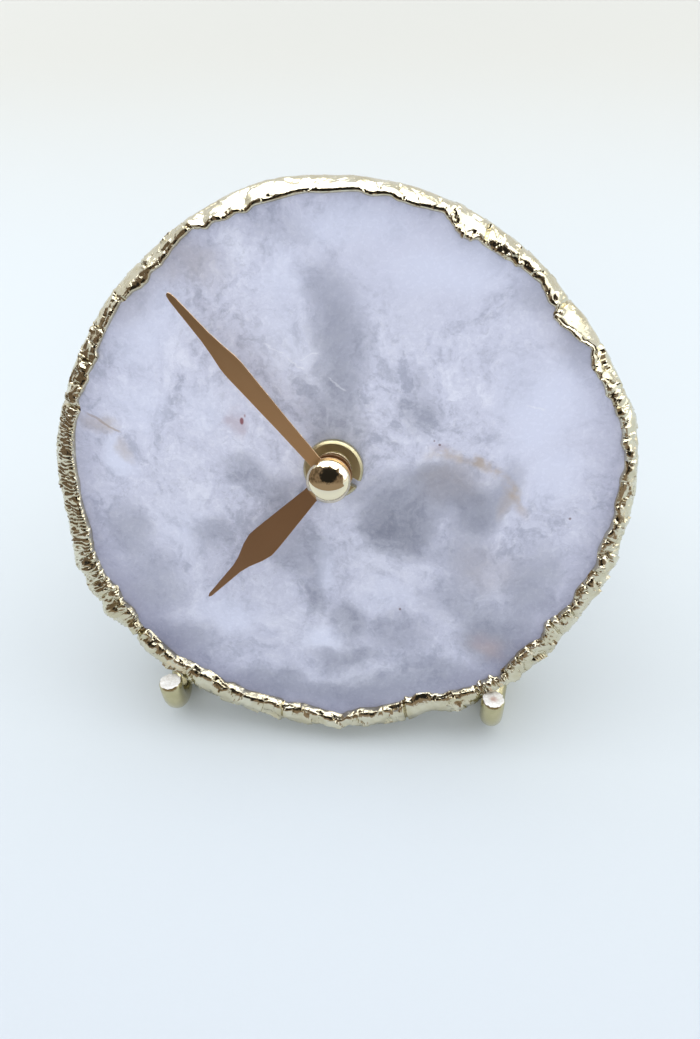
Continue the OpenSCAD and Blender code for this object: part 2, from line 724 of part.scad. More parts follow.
module setting_knob() {
    knob_z = case_back_z - layer_gap;
    grooves = 24;
    groove_r = knob_d / grooves;
    color("#3a3a3c") in_dial() translate(minute_at) difference() {
        tube(knob_d / 2, setting_arbor_r + seat_fit, knob_z - knob_h, knob_z);
        for (a = [0 : full_turn / grooves : full_turn - over]) rotate([0, 0, a])
            translate([knob_d / 2 + groove_r / 2, 0])
                tube(groove_r, 0, knob_z - knob_h - over, knob_z + over);
    }
}

module train_plate() {
    low = bay_high + bay_wall + wall_gap;
    color("#c9c4b8") in_dial() difference() {
        translate([0, 0, plate_z - plate_t]) linear_extrude(plate_t) intersection() {
            case_outline(2 * (case_in - wall_gap));
            translate([-case_in, low]) square([2 * case_in, case_in - low]);
        }
        tube(centre_pipe_r + run_fit, 0, plate_z + over, plate_z - plate_t - over);
        for (at = [third_at, fifth_at, rotor_at])
            translate(at) tube(pivot_r + run_fit, 0, plate_z + over, plate_z - plate_t - over);
        translate(minute_at)
            tube(setting_arbor_r + run_fit, 0, plate_z + over, plate_z - plate_t - over);
    }
}

module centre_wheel() {
    color("#e3dcc4") in_dial() difference() {
        union() {
            gear(centre_n, m_centre, 0, centre_wheel_z, wheel_t);
            tube(centre_pipe_r, 0, centre_wheel_z - wheel_t, centre_pipe_top);
        }
        tube(seconds_arbor_r + run_fit, 0, centre_wheel_z - wheel_t - over, centre_pipe_top + over);
    }
}

// A wheel with its pinion in front and a pivot at each end
module wheel_with_pinion(n, m, z, pinion_m, pinion_phase, pivot_top) {
    pinion_t = wheel_t + layer_gap + pinion_extra;
    gear(n, m, 0, z, wheel_t);
    gear(pinion_n, pinion_m, pinion_phase, z + pinion_t, pinion_t);
    tube(pivot_r, 0, z, pivot_top);
    tube(pivot_r, 0, z - wheel_t, z - wheel_t - layer_gap - pivot_len);
}

module third_wheel() {
    color("#e8e2d0") in_dial() translate(third_at)
        wheel_with_pinion(third_n, m_third, third_wheel_z, m_centre, third_pinion_phase,
            plate_z - plate_t / 4);
}

module seconds_wheel() {
    color("#f0ead8") in_dial() {
        pinion_t = wheel_t + layer_gap + pinion_extra;
        gear(seconds_n, m_fifth, 0, seconds_wheel_z, wheel_t);
        gear(pinion_n, m_third, seconds_pinion_phase, seconds_wheel_z + pinion_t, pinion_t);
        tube(seconds_arbor_r, 0, seconds_wheel_z, seconds_arbor_top);
        tube(seconds_arbor_r, 0, seconds_wheel_z - wheel_t,
            seconds_wheel_z - wheel_t - layer_gap - pivot_len);
    }
}

module fifth_wheel() {
    color("#e8e2d0") in_dial() translate(fifth_at)
        wheel_with_pinion(fifth_n, m_rotor, fifth_wheel_z, m_fifth, fifth_pinion_phase,
            plate_z - plate_t / 4);
}

module rotor() {
    pinion_t = wheel_t + layer_gap + pinion_extra;
    color("#4a4a50") in_dial() translate(rotor_at) {
        tube(magnet_r, 0, magnet_z, magnet_z - magnet_h);
        gear(pinion_n, m_rotor, rotor_pinion_phase, magnet_z + pinion_t, pinion_t);
        tube(pivot_r, 0, magnet_z, plate_z - plate_t / 4);
        tube(pivot_r, 0, magnet_z - magnet_h, magnet_z - magnet_h - layer_gap - pivot_len / 2);
    }
}

module stator() {
    leg_h = core_y + stator_leg_w - stator_bar_y;
    color("#8f9296") in_dial() translate([0, 0, stator_z - stator_t]) linear_extrude(stator_t)
        difference() {
            union() {
                translate([stator_left, stator_bar_y])
                    square([stator_right - stator_left, stator_leg_w]);
                translate([stator_left, stator_bar_y]) square([stator_leg_w, leg_h]);
                translate([stator_right - stator_leg_w, stator_bar_y]) square([stator_leg_w, leg_h]);
                translate(rotor_at) circle(r = stator_ring_r);
            }
            translate(rotor_at) circle(r = magnet_r + magnet_gap);
        }
}

module coil_core() {
    wide = stator_right - stator_left;
    narrow = bobbin_bore_w - 2 * bobbin_fit;
    color("#9da0a4") in_dial() translate([0, 0, core_z - stator_t]) linear_extrude(stator_t) {
        translate([stator_left, coil_y - narrow / 2]) square([wide, narrow]);
        translate([stator_left, core_y]) square([stator_leg_w, stator_leg_w]);
        translate([stator_right - stator_leg_w, core_y]) square([stator_leg_w, stator_leg_w]);
    }
}

module along_coil() {
    translate([coil_mid_x - bobbin_len / 2, coil_y, coil_z]) rotate([0, quarter_turn, 0]) children();
}

module coil_bobbin() {
    color("#e9e6dd") in_dial() along_coil() difference() {
        union() {
            cylinder(r = bobbin_tube_r, h = bobbin_len);
            for (z = [0, bobbin_len - bobbin_flange_t])
                translate([0, 0, z]) cylinder(r = bobbin_flange_r, h = bobbin_flange_t);
        }
        translate([-stator_t / 2 - bobbin_fit, -bobbin_bore_w / 2, -over])
            cube([stator_t + 2 * bobbin_fit, bobbin_bore_w, bobbin_len + 2 * over]);
    }
}

module coil_winding() {
    color("#b5562a") in_dial() along_coil() translate([0, 0, bobbin_flange_t]) difference() {
        cylinder(r = winding_d / 2, h = winding_len);
        translate([0, 0, -over]) cylinder(r = bobbin_tube_r + seat_fit, h = winding_len + 2 * over);
    }
}

module circuit_board() {
    color("#2f6b45") in_dial() translate([board_left, board_low, board_z])
        cube([board_w, board_h, board_t]);
}

module quartz_crystal() {
    color("#c4c7cc") in_dial()
        translate([board_mid[0], board_mid[1] + crystal_len / 2, board_z + board_t + crystal_r])
            rotate([-quarter_turn, 0, 0]) cylinder(r = crystal_r, h = crystal_len);
}

module chip_blob() {
    ball_r = (blob_r * blob_r + blob_h * blob_h) / (2 * blob_h);
    color("#151516") in_dial()
        translate([board_mid[0], board_mid[1] - blob_r * 2, board_z + board_t]) intersection() {
            translate([0, 0, blob_h - ball_r]) sphere(r = ball_r);
            cylinder(r = blob_r + over, h = blob_h);
        }
}

module battery() {
    color("#3f5f8c") in_dial() translate([0, cell_y, cell_z]) rotate([0, quarter_turn, 0]) {
        translate([0, 0, can_start_x]) cylinder(r = cell_r, h = cell_len);
        translate([0, 0, can_end_x]) cylinder(d = nub_d, h = nub_len);
    }
}

module contact_plate(x) {
    translate([x, cell_y - contact_w / 2, cell_z - contact_w / 2])
        cube([contact_t, contact_w, contact_w]);
}

module positive_contact() {
    color("#c9ccd0") in_dial() contact_plate(nub_end_x);
}

// The leaf is pressed out into a dome that bears on the can's base
module negative_contact() {
    plate_x = contact_t - bay_half;
    color("#c9ccd0") in_dial() {
        contact_plate(-bay_half);
        translate([plate_x, cell_y, cell_z]) rotate([0, quarter_turn, 0])
            cylinder(d1 = contact_w * 2 / 3, d2 = contact_w / 4, h = leaf_h);
    }
}

quartz_slab();
gilt_rim();
left_side_rod();
right_side_rod();
base_cross_bar();
rear_cross_bar();
front_case();
rear_case();
threaded_bushing();
rubber_gasket();
slotted_nut();
hour_hand();
minute_hand();
shaft_cap();
hour_wheel();
cannon_pinion();
minute_wheel();
setting_knob();
train_plate();
centre_wheel();
third_wheel();
seconds_wheel();
fifth_wheel();
rotor();
stator();
coil_core();
coil_bobbin();
coil_winding();
circuit_board();
quartz_crystal();
chip_blob();
battery();
positive_contact();
negative_contact();
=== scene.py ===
import math
import bpy
from mathutils import Matrix, Vector, noise
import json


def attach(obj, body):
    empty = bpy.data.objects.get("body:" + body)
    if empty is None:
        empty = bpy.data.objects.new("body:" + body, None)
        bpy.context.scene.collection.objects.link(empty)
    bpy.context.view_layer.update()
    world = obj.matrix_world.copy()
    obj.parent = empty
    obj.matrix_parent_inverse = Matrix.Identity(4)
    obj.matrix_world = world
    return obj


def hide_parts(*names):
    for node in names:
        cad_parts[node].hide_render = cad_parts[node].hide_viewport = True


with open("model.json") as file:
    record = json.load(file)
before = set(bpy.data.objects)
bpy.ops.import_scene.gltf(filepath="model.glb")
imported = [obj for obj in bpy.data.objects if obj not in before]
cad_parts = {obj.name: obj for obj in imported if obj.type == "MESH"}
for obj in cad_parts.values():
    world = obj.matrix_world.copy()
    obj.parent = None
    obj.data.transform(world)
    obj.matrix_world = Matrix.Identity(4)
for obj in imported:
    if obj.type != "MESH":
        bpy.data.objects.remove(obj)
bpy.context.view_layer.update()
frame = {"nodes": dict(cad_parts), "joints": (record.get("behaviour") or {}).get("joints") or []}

bpy.ops.object.select_all(action="DESELECT")
scene = bpy.context.scene
scene.view_settings.view_transform = "Standard"
noise.seed_set(4)

# The view. The camera stands above and in front of the dial, at the photograph's angle.
# The lens and the place were fitted to the dial's outline, the nut and the feet.
mm = 0.001
joints = {joint["name"]: joint for joint in frame["joints"]}
shaft = Vector(joints["minute_turn"]["pos_m"])
dial_x = Vector((1, 0, 0))
dial_z = -Vector(joints["minute_turn"]["axis"])
dial_y = dial_z.cross(dial_x)
dial = Matrix.Translation(shaft) @ Matrix((dial_x, dial_y, dial_z)).transposed().to_4x4()

view_place = shaft + Vector((16.4, -112.1, 103.1)) * mm
view_ahead = Vector((-0.0856, 0.6902, -0.7185)).normalized()
view_right = Vector((0.9956, 0.0860, -0.036))
view_up = view_right.cross(view_ahead).normalized()
view_data = bpy.data.cameras.new("view")
view_data.lens = 28.76
view_data.sensor_width = 36
view_data.clip_start = 5 * mm
view = bpy.data.objects.new("view", view_data)
scene.collection.objects.link(view)
view.matrix_world = Matrix.Translation(view_place) @ Matrix(
    (view_ahead.cross(view_up), view_up, -view_ahead)).transposed().to_4x4()
scene.camera = view


# The easel. Two hooks are bent from 4.6 mm rod and joined by two soldered bars. The whole
# is plated a pale gold. The tips were sawn off square afterwards and show bare metal.
class Wire:
    """An output of a node, used in sums like a number."""

    def __init__(self, finish, socket):
        self.finish, self.socket = finish, socket

    def maths(self, operation, *others):
        return self.finish.node("Math", dict(operation=operation), self, *others)

    def __add__(self, other):
        return self.maths("ADD", other)

    def __sub__(self, other):
        return self.maths("SUBTRACT", other)

    def __rsub__(self, other):
        return self.finish.node("Math", dict(operation="SUBTRACT"), other, self)

    def __mul__(self, other):
        return self.maths("MULTIPLY", other)

    def __truediv__(self, other):
        return self.maths("DIVIDE", other)

    def __pow__(self, other):
        return self.maths("POWER", other)

    def __abs__(self):
        return self.maths("ABSOLUTE")

    def most(self, other):
        return self.maths("MAXIMUM", other)

    def least(self, other):
        return self.maths("MINIMUM", other)

    __radd__ = __add__
    __rmul__ = __mul__


def colour(red, green, blue):
    """A colour seen as red, green and blue of 255, as light."""
    return tuple((v / 255 / 12.92 if v < 10 else ((v / 255 + 0.055) / 1.055) ** 2.4)
                 for v in (red, green, blue)) + (1,)


class Finish:
    """A material of the clock. Its patterns are in millimetres of the dial's own frame."""

    def __init__(self, name, metallic=0.0, **sockets):
        self.material = bpy.data.materials.new(name)
        self.material.use_nodes = True
        self.tree = self.material.node_tree
        self.tree.nodes.clear()
        output = self.tree.nodes.new("ShaderNodeOutputMaterial")
        self.shader = self.tree.nodes.new("ShaderNodeBsdfPrincipled")
        self.tree.links.new(self.shader.outputs[0], output.inputs[0])
        self.give(Metallic=metallic, **sockets)
        self.place = self.node("TexCoord", {}, output=3)
        from_shaft = self.vector("SUBTRACT", self.place, shaft)
        self.across, self.up, self.out = (
            self.vector("DOT_PRODUCT", from_shaft, axis) / mm for axis in (dial_x, dial_y, dial_z))
        self.spot = self.node("CombineXYZ", {}, self.across, self.up, self.out)

    def feed(self, socket, value):
        if isinstance(value, Wire):
            self.tree.links.new(value.socket, socket)
        elif value is not None:
            socket.default_value = value

    def give(self, **sockets):
        """Sets or links the shader's sockets; an underscore stands for a space."""
        for name, value in sockets.items():
            self.feed(self.shader.inputs[name.replace("_", " ")], value)

    def node(self, kind, settings, *values, output=0, **named):
        """Adds a node: its settings first, then what its sockets are given."""
        made = self.tree.nodes.new("ShaderNode" + kind)
        for name, value in settings.items():
            setattr(made, name, value)
        for key, value in [*enumerate(values), *named.items()]:
            self.feed(made.inputs[key], value)
        return Wire(self, made.outputs[output])

    def vector(self, operation, *values, **named):
        """Vector Math; a dot product, a length and a distance come out as a number."""
        numeric = operation in ("DOT_PRODUCT", "LENGTH", "DISTANCE")
        return self.node("VectorMath", dict(operation=operation), *values,
                         output=int(numeric), **named)

    def noise(self, size, detail=2.0, roughness=0.5, spot=None, distortion=0.0, output=0):
        """Cloudy noise, about 0 to 1, with lumps of the given size in millimetres."""
        return self.node("TexNoise", {}, Vector=spot or self.spot, Scale=1 / size,
                         Detail=detail, Roughness=roughness, Distortion=distortion,
                         output=output)

    def cells(self, size, feature="F1"):
        """Cells of the given size in millimetres."""
        return self.node("TexVoronoi", dict(feature=feature), Vector=self.spot, Scale=1 / size)

    def step(self, value, low, high, start=0.0, end=1.0):
        """A soft step from start to end as the value goes from low to high."""
        return self.node("MapRange", dict(interpolation_type="SMOOTHSTEP"),
                         value, low, high, start, end)

    def mix(self, factor, first, second):
        """The first colour, and as much of the second as the factor says."""
        return self.node("Mix", dict(data_type="RGBA"), factor, *[None] * 5, first, second,
                         output=2)

    def turned(self, spot, degrees):
        """A place turned clockwise round the dial's axis."""
        return self.node("VectorRotate", dict(rotation_type="Z_AXIS"), spot,
                         Angle=math.radians(-degrees))

    def raised(self, height, depth, under=None):
        """Relief of the surface, as deep as depth in millimetres, over the relief under it."""
        return self.node("Bump", {}, Strength=1.0, Distance=depth * mm, Height=height,
                         Normal=under)


def present(piece, body, slot, finish, *nodes):
    """Seats a finished piece: what it rides on, its finish, and the nodes it stands for."""
    piece.data.materials.clear()
    piece.data.materials.append(finish.material)
    for polygon in piece.data.polygons:
        polygon.material_index = 0
    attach(piece, body)
    if nodes:
        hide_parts(*nodes)


def dress(finish, *nodes):
    """Gives CAD nodes that are shown as they are their finish."""
    for node in nodes:
        mesh = frame["nodes"][node].data
        mesh.materials.clear()
        mesh.materials.append(finish.material)


def select(*pieces):
    bpy.ops.object.select_all(action="DESELECT")
    for piece in pieces:
        piece.select_set(True)
    bpy.context.view_layer.objects.active = pieces[0]


def open_mesh(choose=None):
    """Opens the active piece's mesh for edits; choose may select or deselect all of it."""
    bpy.ops.object.mode_set(mode="EDIT")
    if choose:
        bpy.ops.mesh.select_all(action=choose)


def close_mesh():
    bpy.ops.object.mode_set(mode="OBJECT")


def copied(node, name):
    """A merged copy of a node's mesh, to be worked on."""
    piece = bpy.data.objects.new(name, frame["nodes"][node].data.copy())
    scene.collection.objects.link(piece)
    select(piece)
    open_mesh("SELECT")
    bpy.ops.mesh.remove_doubles(threshold=0.002 * mm)
    bpy.ops.mesh.dissolve_limited(angle_limit=math.radians(0.5))
    bpy.ops.mesh.select_all(action="DESELECT")
    close_mesh()
    return piece


def modified(piece, kind, **settings):
    """Adds a modifier and applies it."""
    select(piece)
    modifier = piece.modifiers.new(kind.lower(), kind)
    for name, value in settings.items():
        setattr(modifier, name, value)
    bpy.ops.object.modifier_apply(modifier=modifier.name)
    return piece


def smooth(piece, degrees=30):
    select(piece)
    bpy.ops.object.shade_smooth_by_angle(angle=math.radians(degrees))
    return piece


def bevelled(node, name, width, segments=2):
    """A copy of a node with its edges broken, as moulded and stamped edges are."""
    piece = modified(copied(node, name), "BEVEL", width=width * mm, segments=segments,
                     limit_method="ANGLE", angle_limit=math.radians(30),
                     miter_outer="MITER_ARC")
    return modified(smooth(piece, 60), "WEIGHTED_NORMAL", weight=100, keep_sharp=True)


easel_gold = Finish("easel_gold", metallic=1.0)
plating = easel_gold.noise(1.6, 4, 0.6)
easel_gold.give(
    Base_Color=easel_gold.mix(easel_gold.step(plating, 0.3, 0.75),
                              (0.50, 0.455, 0.265, 1), (0.56, 0.505, 0.305, 1)),
    Roughness=easel_gold.step(easel_gold.noise(0.7, 3), 0.3, 0.8, 0.14, 0.24),
    Normal=easel_gold.raised(easel_gold.noise(0.45, 4, 0.6), 0.03,
                             under=easel_gold.raised(easel_gold.noise(3.0), 0.04)))
rod_meshes = {}
for side in ("left", "right"):
    rod = smooth(copied(side + "_side_rod", side + "_hook_rod"), 40)
    rod_meshes[side] = rod.data
    present(rod, "stand", "gold_rod", easel_gold, side + "_side_rod")

# The sawn tips: bare pale metal, rusty at one spot, inside a toothed lip of plating
sawn = Finish("sawn_end", metallic=0.1)
bare_metal = sawn.mix(sawn.step(sawn.cells(0.45), 0.2, 0.7), (0.98, 0.98, 0.97, 1),
                      (0.87, 0.85, 0.81, 1))
from_rust = sawn.vector("DISTANCE", sawn.spot, (31.9, -45.9, 2.2))
rusty = sawn.step(from_rust + sawn.noise(0.6), 0.5, 1.7, 0.75, 0.0)
sawn.give(Base_Color=sawn.mix(rusty, bare_metal, (0.5, 0.27, 0.2, 1)),
          Roughness=sawn.step(sawn.noise(0.4, 2), 0.3, 0.7, 0.3, 0.5),
          Normal=sawn.raised(sawn.noise(0.5, 3, 0.6), 0.12))
sawn_r, lip_width, slope_in = 2.12, 0.3, 0.5
ragged_from, lip_from = 1.3, 1.9
raggedness, face_rise, face_dents, lip_drop = 0.1, 0.1, 0.14, 0.12
least_tip_area = 5 * mm ** 2
for side in ("left", "right"):
    tip = max((polygon for polygon in rod_meshes[side].polygons
               if polygon.normal.dot(dial_y) > 0.9 and polygon.area > least_tip_area),
              key=lambda polygon: polygon.center.dot(dial_z))
    bpy.ops.object.select_all(action="DESELECT")
    bpy.ops.mesh.primitive_circle_add(vertices=96, radius=sawn_r * mm, fill_type="NGON")
    end = bpy.context.object
    end.name = side + "_sawn_end"
    open_mesh("SELECT")
    bpy.ops.mesh.inset(thickness=lip_width * mm)
    bpy.ops.mesh.inset(thickness=slope_in * mm)
    bpy.ops.mesh.poke()
    close_mesh()
    for vertex in end.data.vertices:
        from_middle = vertex.co.xy.length / mm
        turn = math.atan2(vertex.co.y, vertex.co.x)
        tooth = noise.noise(Vector((math.cos(turn) * 4, math.sin(turn) * 4, len(side))))
        if from_middle > ragged_from:
            vertex.co.xy *= 1 + raggedness * tooth
        dent = noise.noise(Vector((vertex.co.x / mm, vertex.co.y / mm, len(side))) * 1.1)
        vertex.co.z = (face_rise + (face_dents * dent if from_middle < lip_from
                                    else -lip_drop)) * mm
    end.data.transform(Matrix.Translation(tip.center)
                       @ tip.normal.to_track_quat("Z", "Y").to_matrix().to_4x4())
    present(smooth(end, 20), "stand", "gold_rod", sawn)

for place in ("base", "rear"):
    bar = smooth(copied(place + "_cross_bar", place + "_bar"), 40)
    present(bar, "stand", "gold_rod", easel_gold, place + "_cross_bar")


# The stone. A slice of pale grey quartz, 8 mm thick, sawn, polished on both faces and
# drilled for the movement. Its edge is hidden in the gilding.
slice_dx, slice_dy = 1.4, -2.6
slice_t = 8.0
slice_lap = 0.8
bore_r = 3.8
stone_edge = (
    (0, 50.0), (2.5, 50.1), (5, 50.8), (8, 50.8), (10, 50.25), (12, 50.6), (14, 50.5),
    (17, 50.0), (19, 49.8), (20.5, 49.1), (22.5, 49.2), (25, 48.7), (27, 48.35), (29, 48.9),
    (30.5, 49.5), (32, 48.9), (33, 48.3), (35, 47.9), (38, 47.1), (40, 46.9), (40.5, 47.2),
    (41.5, 48.1), (43, 47.8), (46, 48.5), (47, 48.8), (49, 48.6), (52, 48.5), (53, 48.1),
    (54, 48.3), (56, 47.9), (60.5, 47.85), (62, 48.1), (63.5, 47.4), (65, 47.3), (66, 47.6),
    (67.5, 48.3), (69, 48.9), (70.3, 49.5), (73, 49.3), (76, 49.1), (79, 49.3), (81, 49.8),
    (84.5, 49.4), (87, 49.9), (93, 49.7), (97, 50.0), (104, 49.7), (107, 49.8), (109, 49.2),
    (111, 49.7), (113, 49.4), (116, 49.9), (117.5, 49.5), (119, 50.2), (120, 50.7),
    (122.5, 50.4), (125, 50.0), (128, 49.4), (129.5, 49.1), (132, 49.4), (134, 48.8),
    (135.5, 48.9), (138, 49.6), (140, 49.8), (141, 50.2), (143.5, 50.0), (147, 49.9),
    (152, 49.8), (153.5, 49.2), (156, 49.5), (158, 49.9), (159, 49.6), (161, 49.9),
    (164, 50.6), (166, 50.0), (169, 50.5), (171, 50.6), (177, 50.5), (180, 50.4),
    (182, 50.2), (185, 50.4), (193, 50.2), (196, 50.7), (198, 51.2), (204, 51.4),
    (206.5, 51.0), (207.5, 50.4), (209, 50.6), (211, 51.0), (214, 50.4), (215.5, 50.6),
    (217, 51.3), (219, 51.5), (220, 50.8), (229, 50.9), (231, 50.3), (232, 50.0),
    (235, 49.9), (237, 49.4), (240, 49.6), (241.5, 49.9), (243.5, 49.2), (247, 49.5),
    (250, 49.1), (255, 48.7), (257, 49.2), (259, 48.8), (261, 48.6), (264, 49.0),
    (267, 49.5), (270, 50.0), (272, 49.2), (275, 48.4), (278, 48.5), (281, 48.1),
    (284, 47.9), (285.5, 47.6), (286, 46.9), (287.5, 47.3), (289, 46.8), (292, 47.2),
    (293, 47.9), (295, 48.5), (297, 48.4), (299, 48.9), (303, 49.5), (304, 49.0),
    (306, 49.4), (307, 49.0), (308, 50.0), (309, 50.3), (310, 49.3), (314, 48.7),
    (316, 48.3), (319, 48.4), (322, 49.2), (323, 48.8), (325.5, 47.7), (327, 48.0),
    (329, 48.6), (333, 49.3), (336, 48.7), (340, 49.3), (343, 49.7), (347, 49.0),
    (350, 49.3), (352, 49.8), (355, 50.0), (357, 49.7))


def along(table, angle):
    """Reads a table of degrees and values round the ring, eased between its places."""
    angle %= 360
    for (low, first), (high, second) in zip(
            ((table[-1][0] - 360, table[-1][1]),) + table,
            table + ((table[0][0] + 360, table[0][1]),)):
        if low <= angle < high or high == angle:
            share = (angle - low) / (high - low)
            return first + (second - first) * share * share * (3 - 2 * share)
    return table[0][1]


def seated(piece):
    """Leans a piece that was made flat, in the dial's frame, back into its place."""
    piece.data.transform(dial @ piece.matrix_world)
    piece.matrix_world = Matrix.Identity(4)
    piece.data.update()
    return piece


slice_sides = 720
bpy.ops.mesh.primitive_circle_add(vertices=slice_sides, radius=50 * mm)
quartz = bpy.context.object
quartz.name = "quartz_slice"
for number, vertex in enumerate(quartz.data.vertices):
    angle = number * 360 / slice_sides
    reach = along(stone_edge, angle) + slice_lap
    vertex.co = Vector((slice_dx + reach * math.cos(math.radians(angle)),
                        slice_dy + reach * math.sin(math.radians(angle)), 0)) * mm
bpy.ops.mesh.primitive_circle_add(vertices=slice_sides, radius=bore_r * mm)
bore = bpy.context.object
for number, vertex in enumerate(bore.data.vertices):
    angle = math.radians(number * 360 / slice_sides)
    vertex.co = Vector((math.cos(angle), math.sin(angle), 0)) * bore_r * mm
select(quartz, bore)
bpy.ops.object.join()
open_mesh("SELECT")
bpy.ops.mesh.bridge_edge_loops()
bpy.ops.mesh.normals_make_consistent(inside=False)
close_mesh()
if quartz.data.polygons[0].normal.z < 0:
    quartz.data.flip_normals()
modified(quartz, "SOLIDIFY", thickness=slice_t * mm, offset=-1)
smooth(seated(quartz))

stone = Finish("polished_quartz", Specular_IOR_Level=0.4)
# Slow and fine wanderings that bend the clouds, the creases and the arc
middle_grey = (0.5, 0.5, 0.5)
slow_drift = stone.vector("SUBTRACT", stone.noise(26, 3, 0.5, output=1), middle_grey)
fine_drift = stone.vector("SUBTRACT", stone.noise(4.5, 4, 0.6, output=1), middle_grey)
waved = stone.vector("ADD", stone.spot, stone.vector("SCALE", slow_drift, Scale=16.0))
waved = stone.vector("ADD", waved, stone.vector("SCALE", fine_drift, Scale=5.0))


def cloud(spots, spot=waved):
    """Soft patches at (across, up, width, height, strength) on the dial, in millimetres."""
    total = None
    for across, up, width, height, strength in spots:
        away = stone.vector("SUBTRACT", spot, (across, up, 0))
        away = stone.vector("MULTIPLY", away, (1 / width, 1 / height, 0))
        patch = stone.step(stone.vector("LENGTH", away), 0.15, 1.0, strength, 0.0)
        total = patch if total is None else total + patch
    return total


grey = cloud((
    (-1, 30, 8, 10, 0.5), (1, 21, 8, 9, 0.75), (-1, 13, 8, 9, 0.75), (0, 7, 7, 7, 0.7),
    (14, 12, 5, 8, 0.38), (13.4, -11.0, 8, 8, 2.9), (20, -4, 9, 7, 1.3),
    (27, -7.6, 8, 7, 1.2), (15, -15.6, 6, 4, 0.7), (-4.6, -25.2, 4, 5, 0.6),
    (2.2, -30.6, 6, 6, 0.9), (1.5, -38.6, 9, 4, 0.7), (17, -2, 8, 5, 0.5), (9, -5, 6, 5, 0.5),
    (33, -3, 5, 7, 0.4), (25, -16, 9, 6, 0.4), (-17, -1, 7, 5, 0.5), (-11, -4, 5, 5, 0.5),
    (33, 29, 7, 5, 0.3), (32, -33, 10, 9, 1.1), (25, -25, 10, 8, 0.5), (38, -22, 7, 10, 0.6),
    (4, -46, 18, 5, 0.8), (-6, -17, 8, 7, 0.5), (12, -34, 9, 6, 0.4), (-24.6, -13, 6, 5, 0.5),
    (-36, -24, 9, 9, 0.4), (-31, -36, 11, 6, 0.45), (-41, -14, 5, 9, 0.5),
    (-10, 42, 10, 5, 0.2), (41, 24, 5, 10, 0.4), (-14, -44.6, 12, 4, 0.6),
    (18, -42, 12, 5, 0.55)))
pale = cloud((
    (20, 36, 16, 9, 0.7), (37, 10, 12, 14, 0.85), (42, -2, 7, 8, 0.6), (-33, 24, 10, 9, 0.7),
    (-35, 11, 9, 9, 0.6), (-42, 1, 5, 5, 1.0), (-4.6, -34.2, 7, 4, 0.9),
    (-21, -29.4, 10, 7, 0.7), (-1.6, -19.6, 3.6, 6, 0.7), (3, 43, 15, 5, 0.7),
    (-30, -12, 9, 8, 0.45), (-12, -12, 7, 6, 0.3), (-9, 33, 7, 9, 0.5), (-10, 22, 6, 7, 0.4),
    (10.6, -26, 8, 5, 0.4), (-22, 12, 7, 8, 0.4)))
mushroom = cloud((
    (-27, 35, 12, 7, 0.7), (-36, 29, 6, 6, 0.35), (22, -2, 10, 7, 0.55), (31, -35, 8, 5, 0.6),
    (30, -18, 10, 7, 0.4), (38, 27, 6, 8, 0.35)))
calm = cloud(((15, 36, 30, 16, 1.0), (38, 12, 18, 22, 0.8)), stone.spot)
crackle = cloud((
    (-7, 19, 9, 8, 1.0), (1, 8, 9, 9, 0.8), (10, -20, 12, 9, 0.9), (-6, -32, 16, 8, 0.9),
    (14, -8, 10, 8, 0.3), (12, 24, 9, 9, 0.5), (6, -42, 12, 4, 0.8), (-32, -8, 10, 14, 0.5),
    (30, -24, 9, 8, 0.5)))
rust = cloud((
    (33.4, -5.4, 2.6, 3.6, 0.5), (25, 1.6, 4, 1.6, 0.4), (-43.8, 6.6, 4, 2.6, 0.6),
    (-40, 2.6, 2.4, 2.4, 0.45), (31, -36, 3, 3, 0.3)))
blush = cloud((
    (-16.6, 8.2, 2.4, 3.4, 0.5), (31, -35, 5, 4, 0.35), (18, 4.5, 3, 1.6, 0.25)))
specks = cloud(((-16.9, 8.3, 0.5, 0.9, 1.6), (-16.3, 9.3, 0.3, 0.45, 0.6)), stone.spot)
dots = cloud((
    (19.2, 4.9, 0.35, 0.3, 1.5), (43.5, -8.3, 0.35, 0.35, 1.1), (12.9, -28.2, 0.35, 0.4, 1.1),
    (18.2, 5.6, 0.25, 0.25, 0.8)), stone.spot)
milk = stone.noise(11, 8, 0.66, spot=waved, distortion=0.5)
veil = stone.noise(2.8, 7, 0.66, spot=waved, distortion=0.4)
grain = stone.noise(0.9, 4, 0.6)
fine = stone.noise(1.7, 6, 0.72, spot=waved, distortion=0.6)
mottle = (milk * 0.5 + veil * 0.37 + grain * 0.13 - 0.5) * (1 - calm * 0.6) + 0.5
greyness = grey * (milk + veil)
crease_noise = stone.noise(5.0, 5, 0.6, spot=waved, distortion=0.2)
ridge = (1 - abs((crease_noise - 0.5) * 5.0)).most(0.0) ** 1.6

# A rusty arc, where the stone was once cracked through
arc_x, arc_y, arc_r = 20, -12, 15.3
arc_spot = stone.vector("MULTIPLY", stone.vector(
    "ADD", stone.spot, stone.vector("SCALE", fine_drift, Scale=2.2)), (1, 1, 0))
from_arc = abs(stone.vector("DISTANCE", arc_spot, (arc_x, arc_y, 0)) - arc_r)
arc = (stone.step(from_arc, 0.2, 1.7, 1.0, 0.0) * stone.step(stone.across, 15, 20)
       * stone.step(stone.up, -10, -5) * stone.step(stone.noise(3.2, 4, 0.6), 0.38, 0.62))


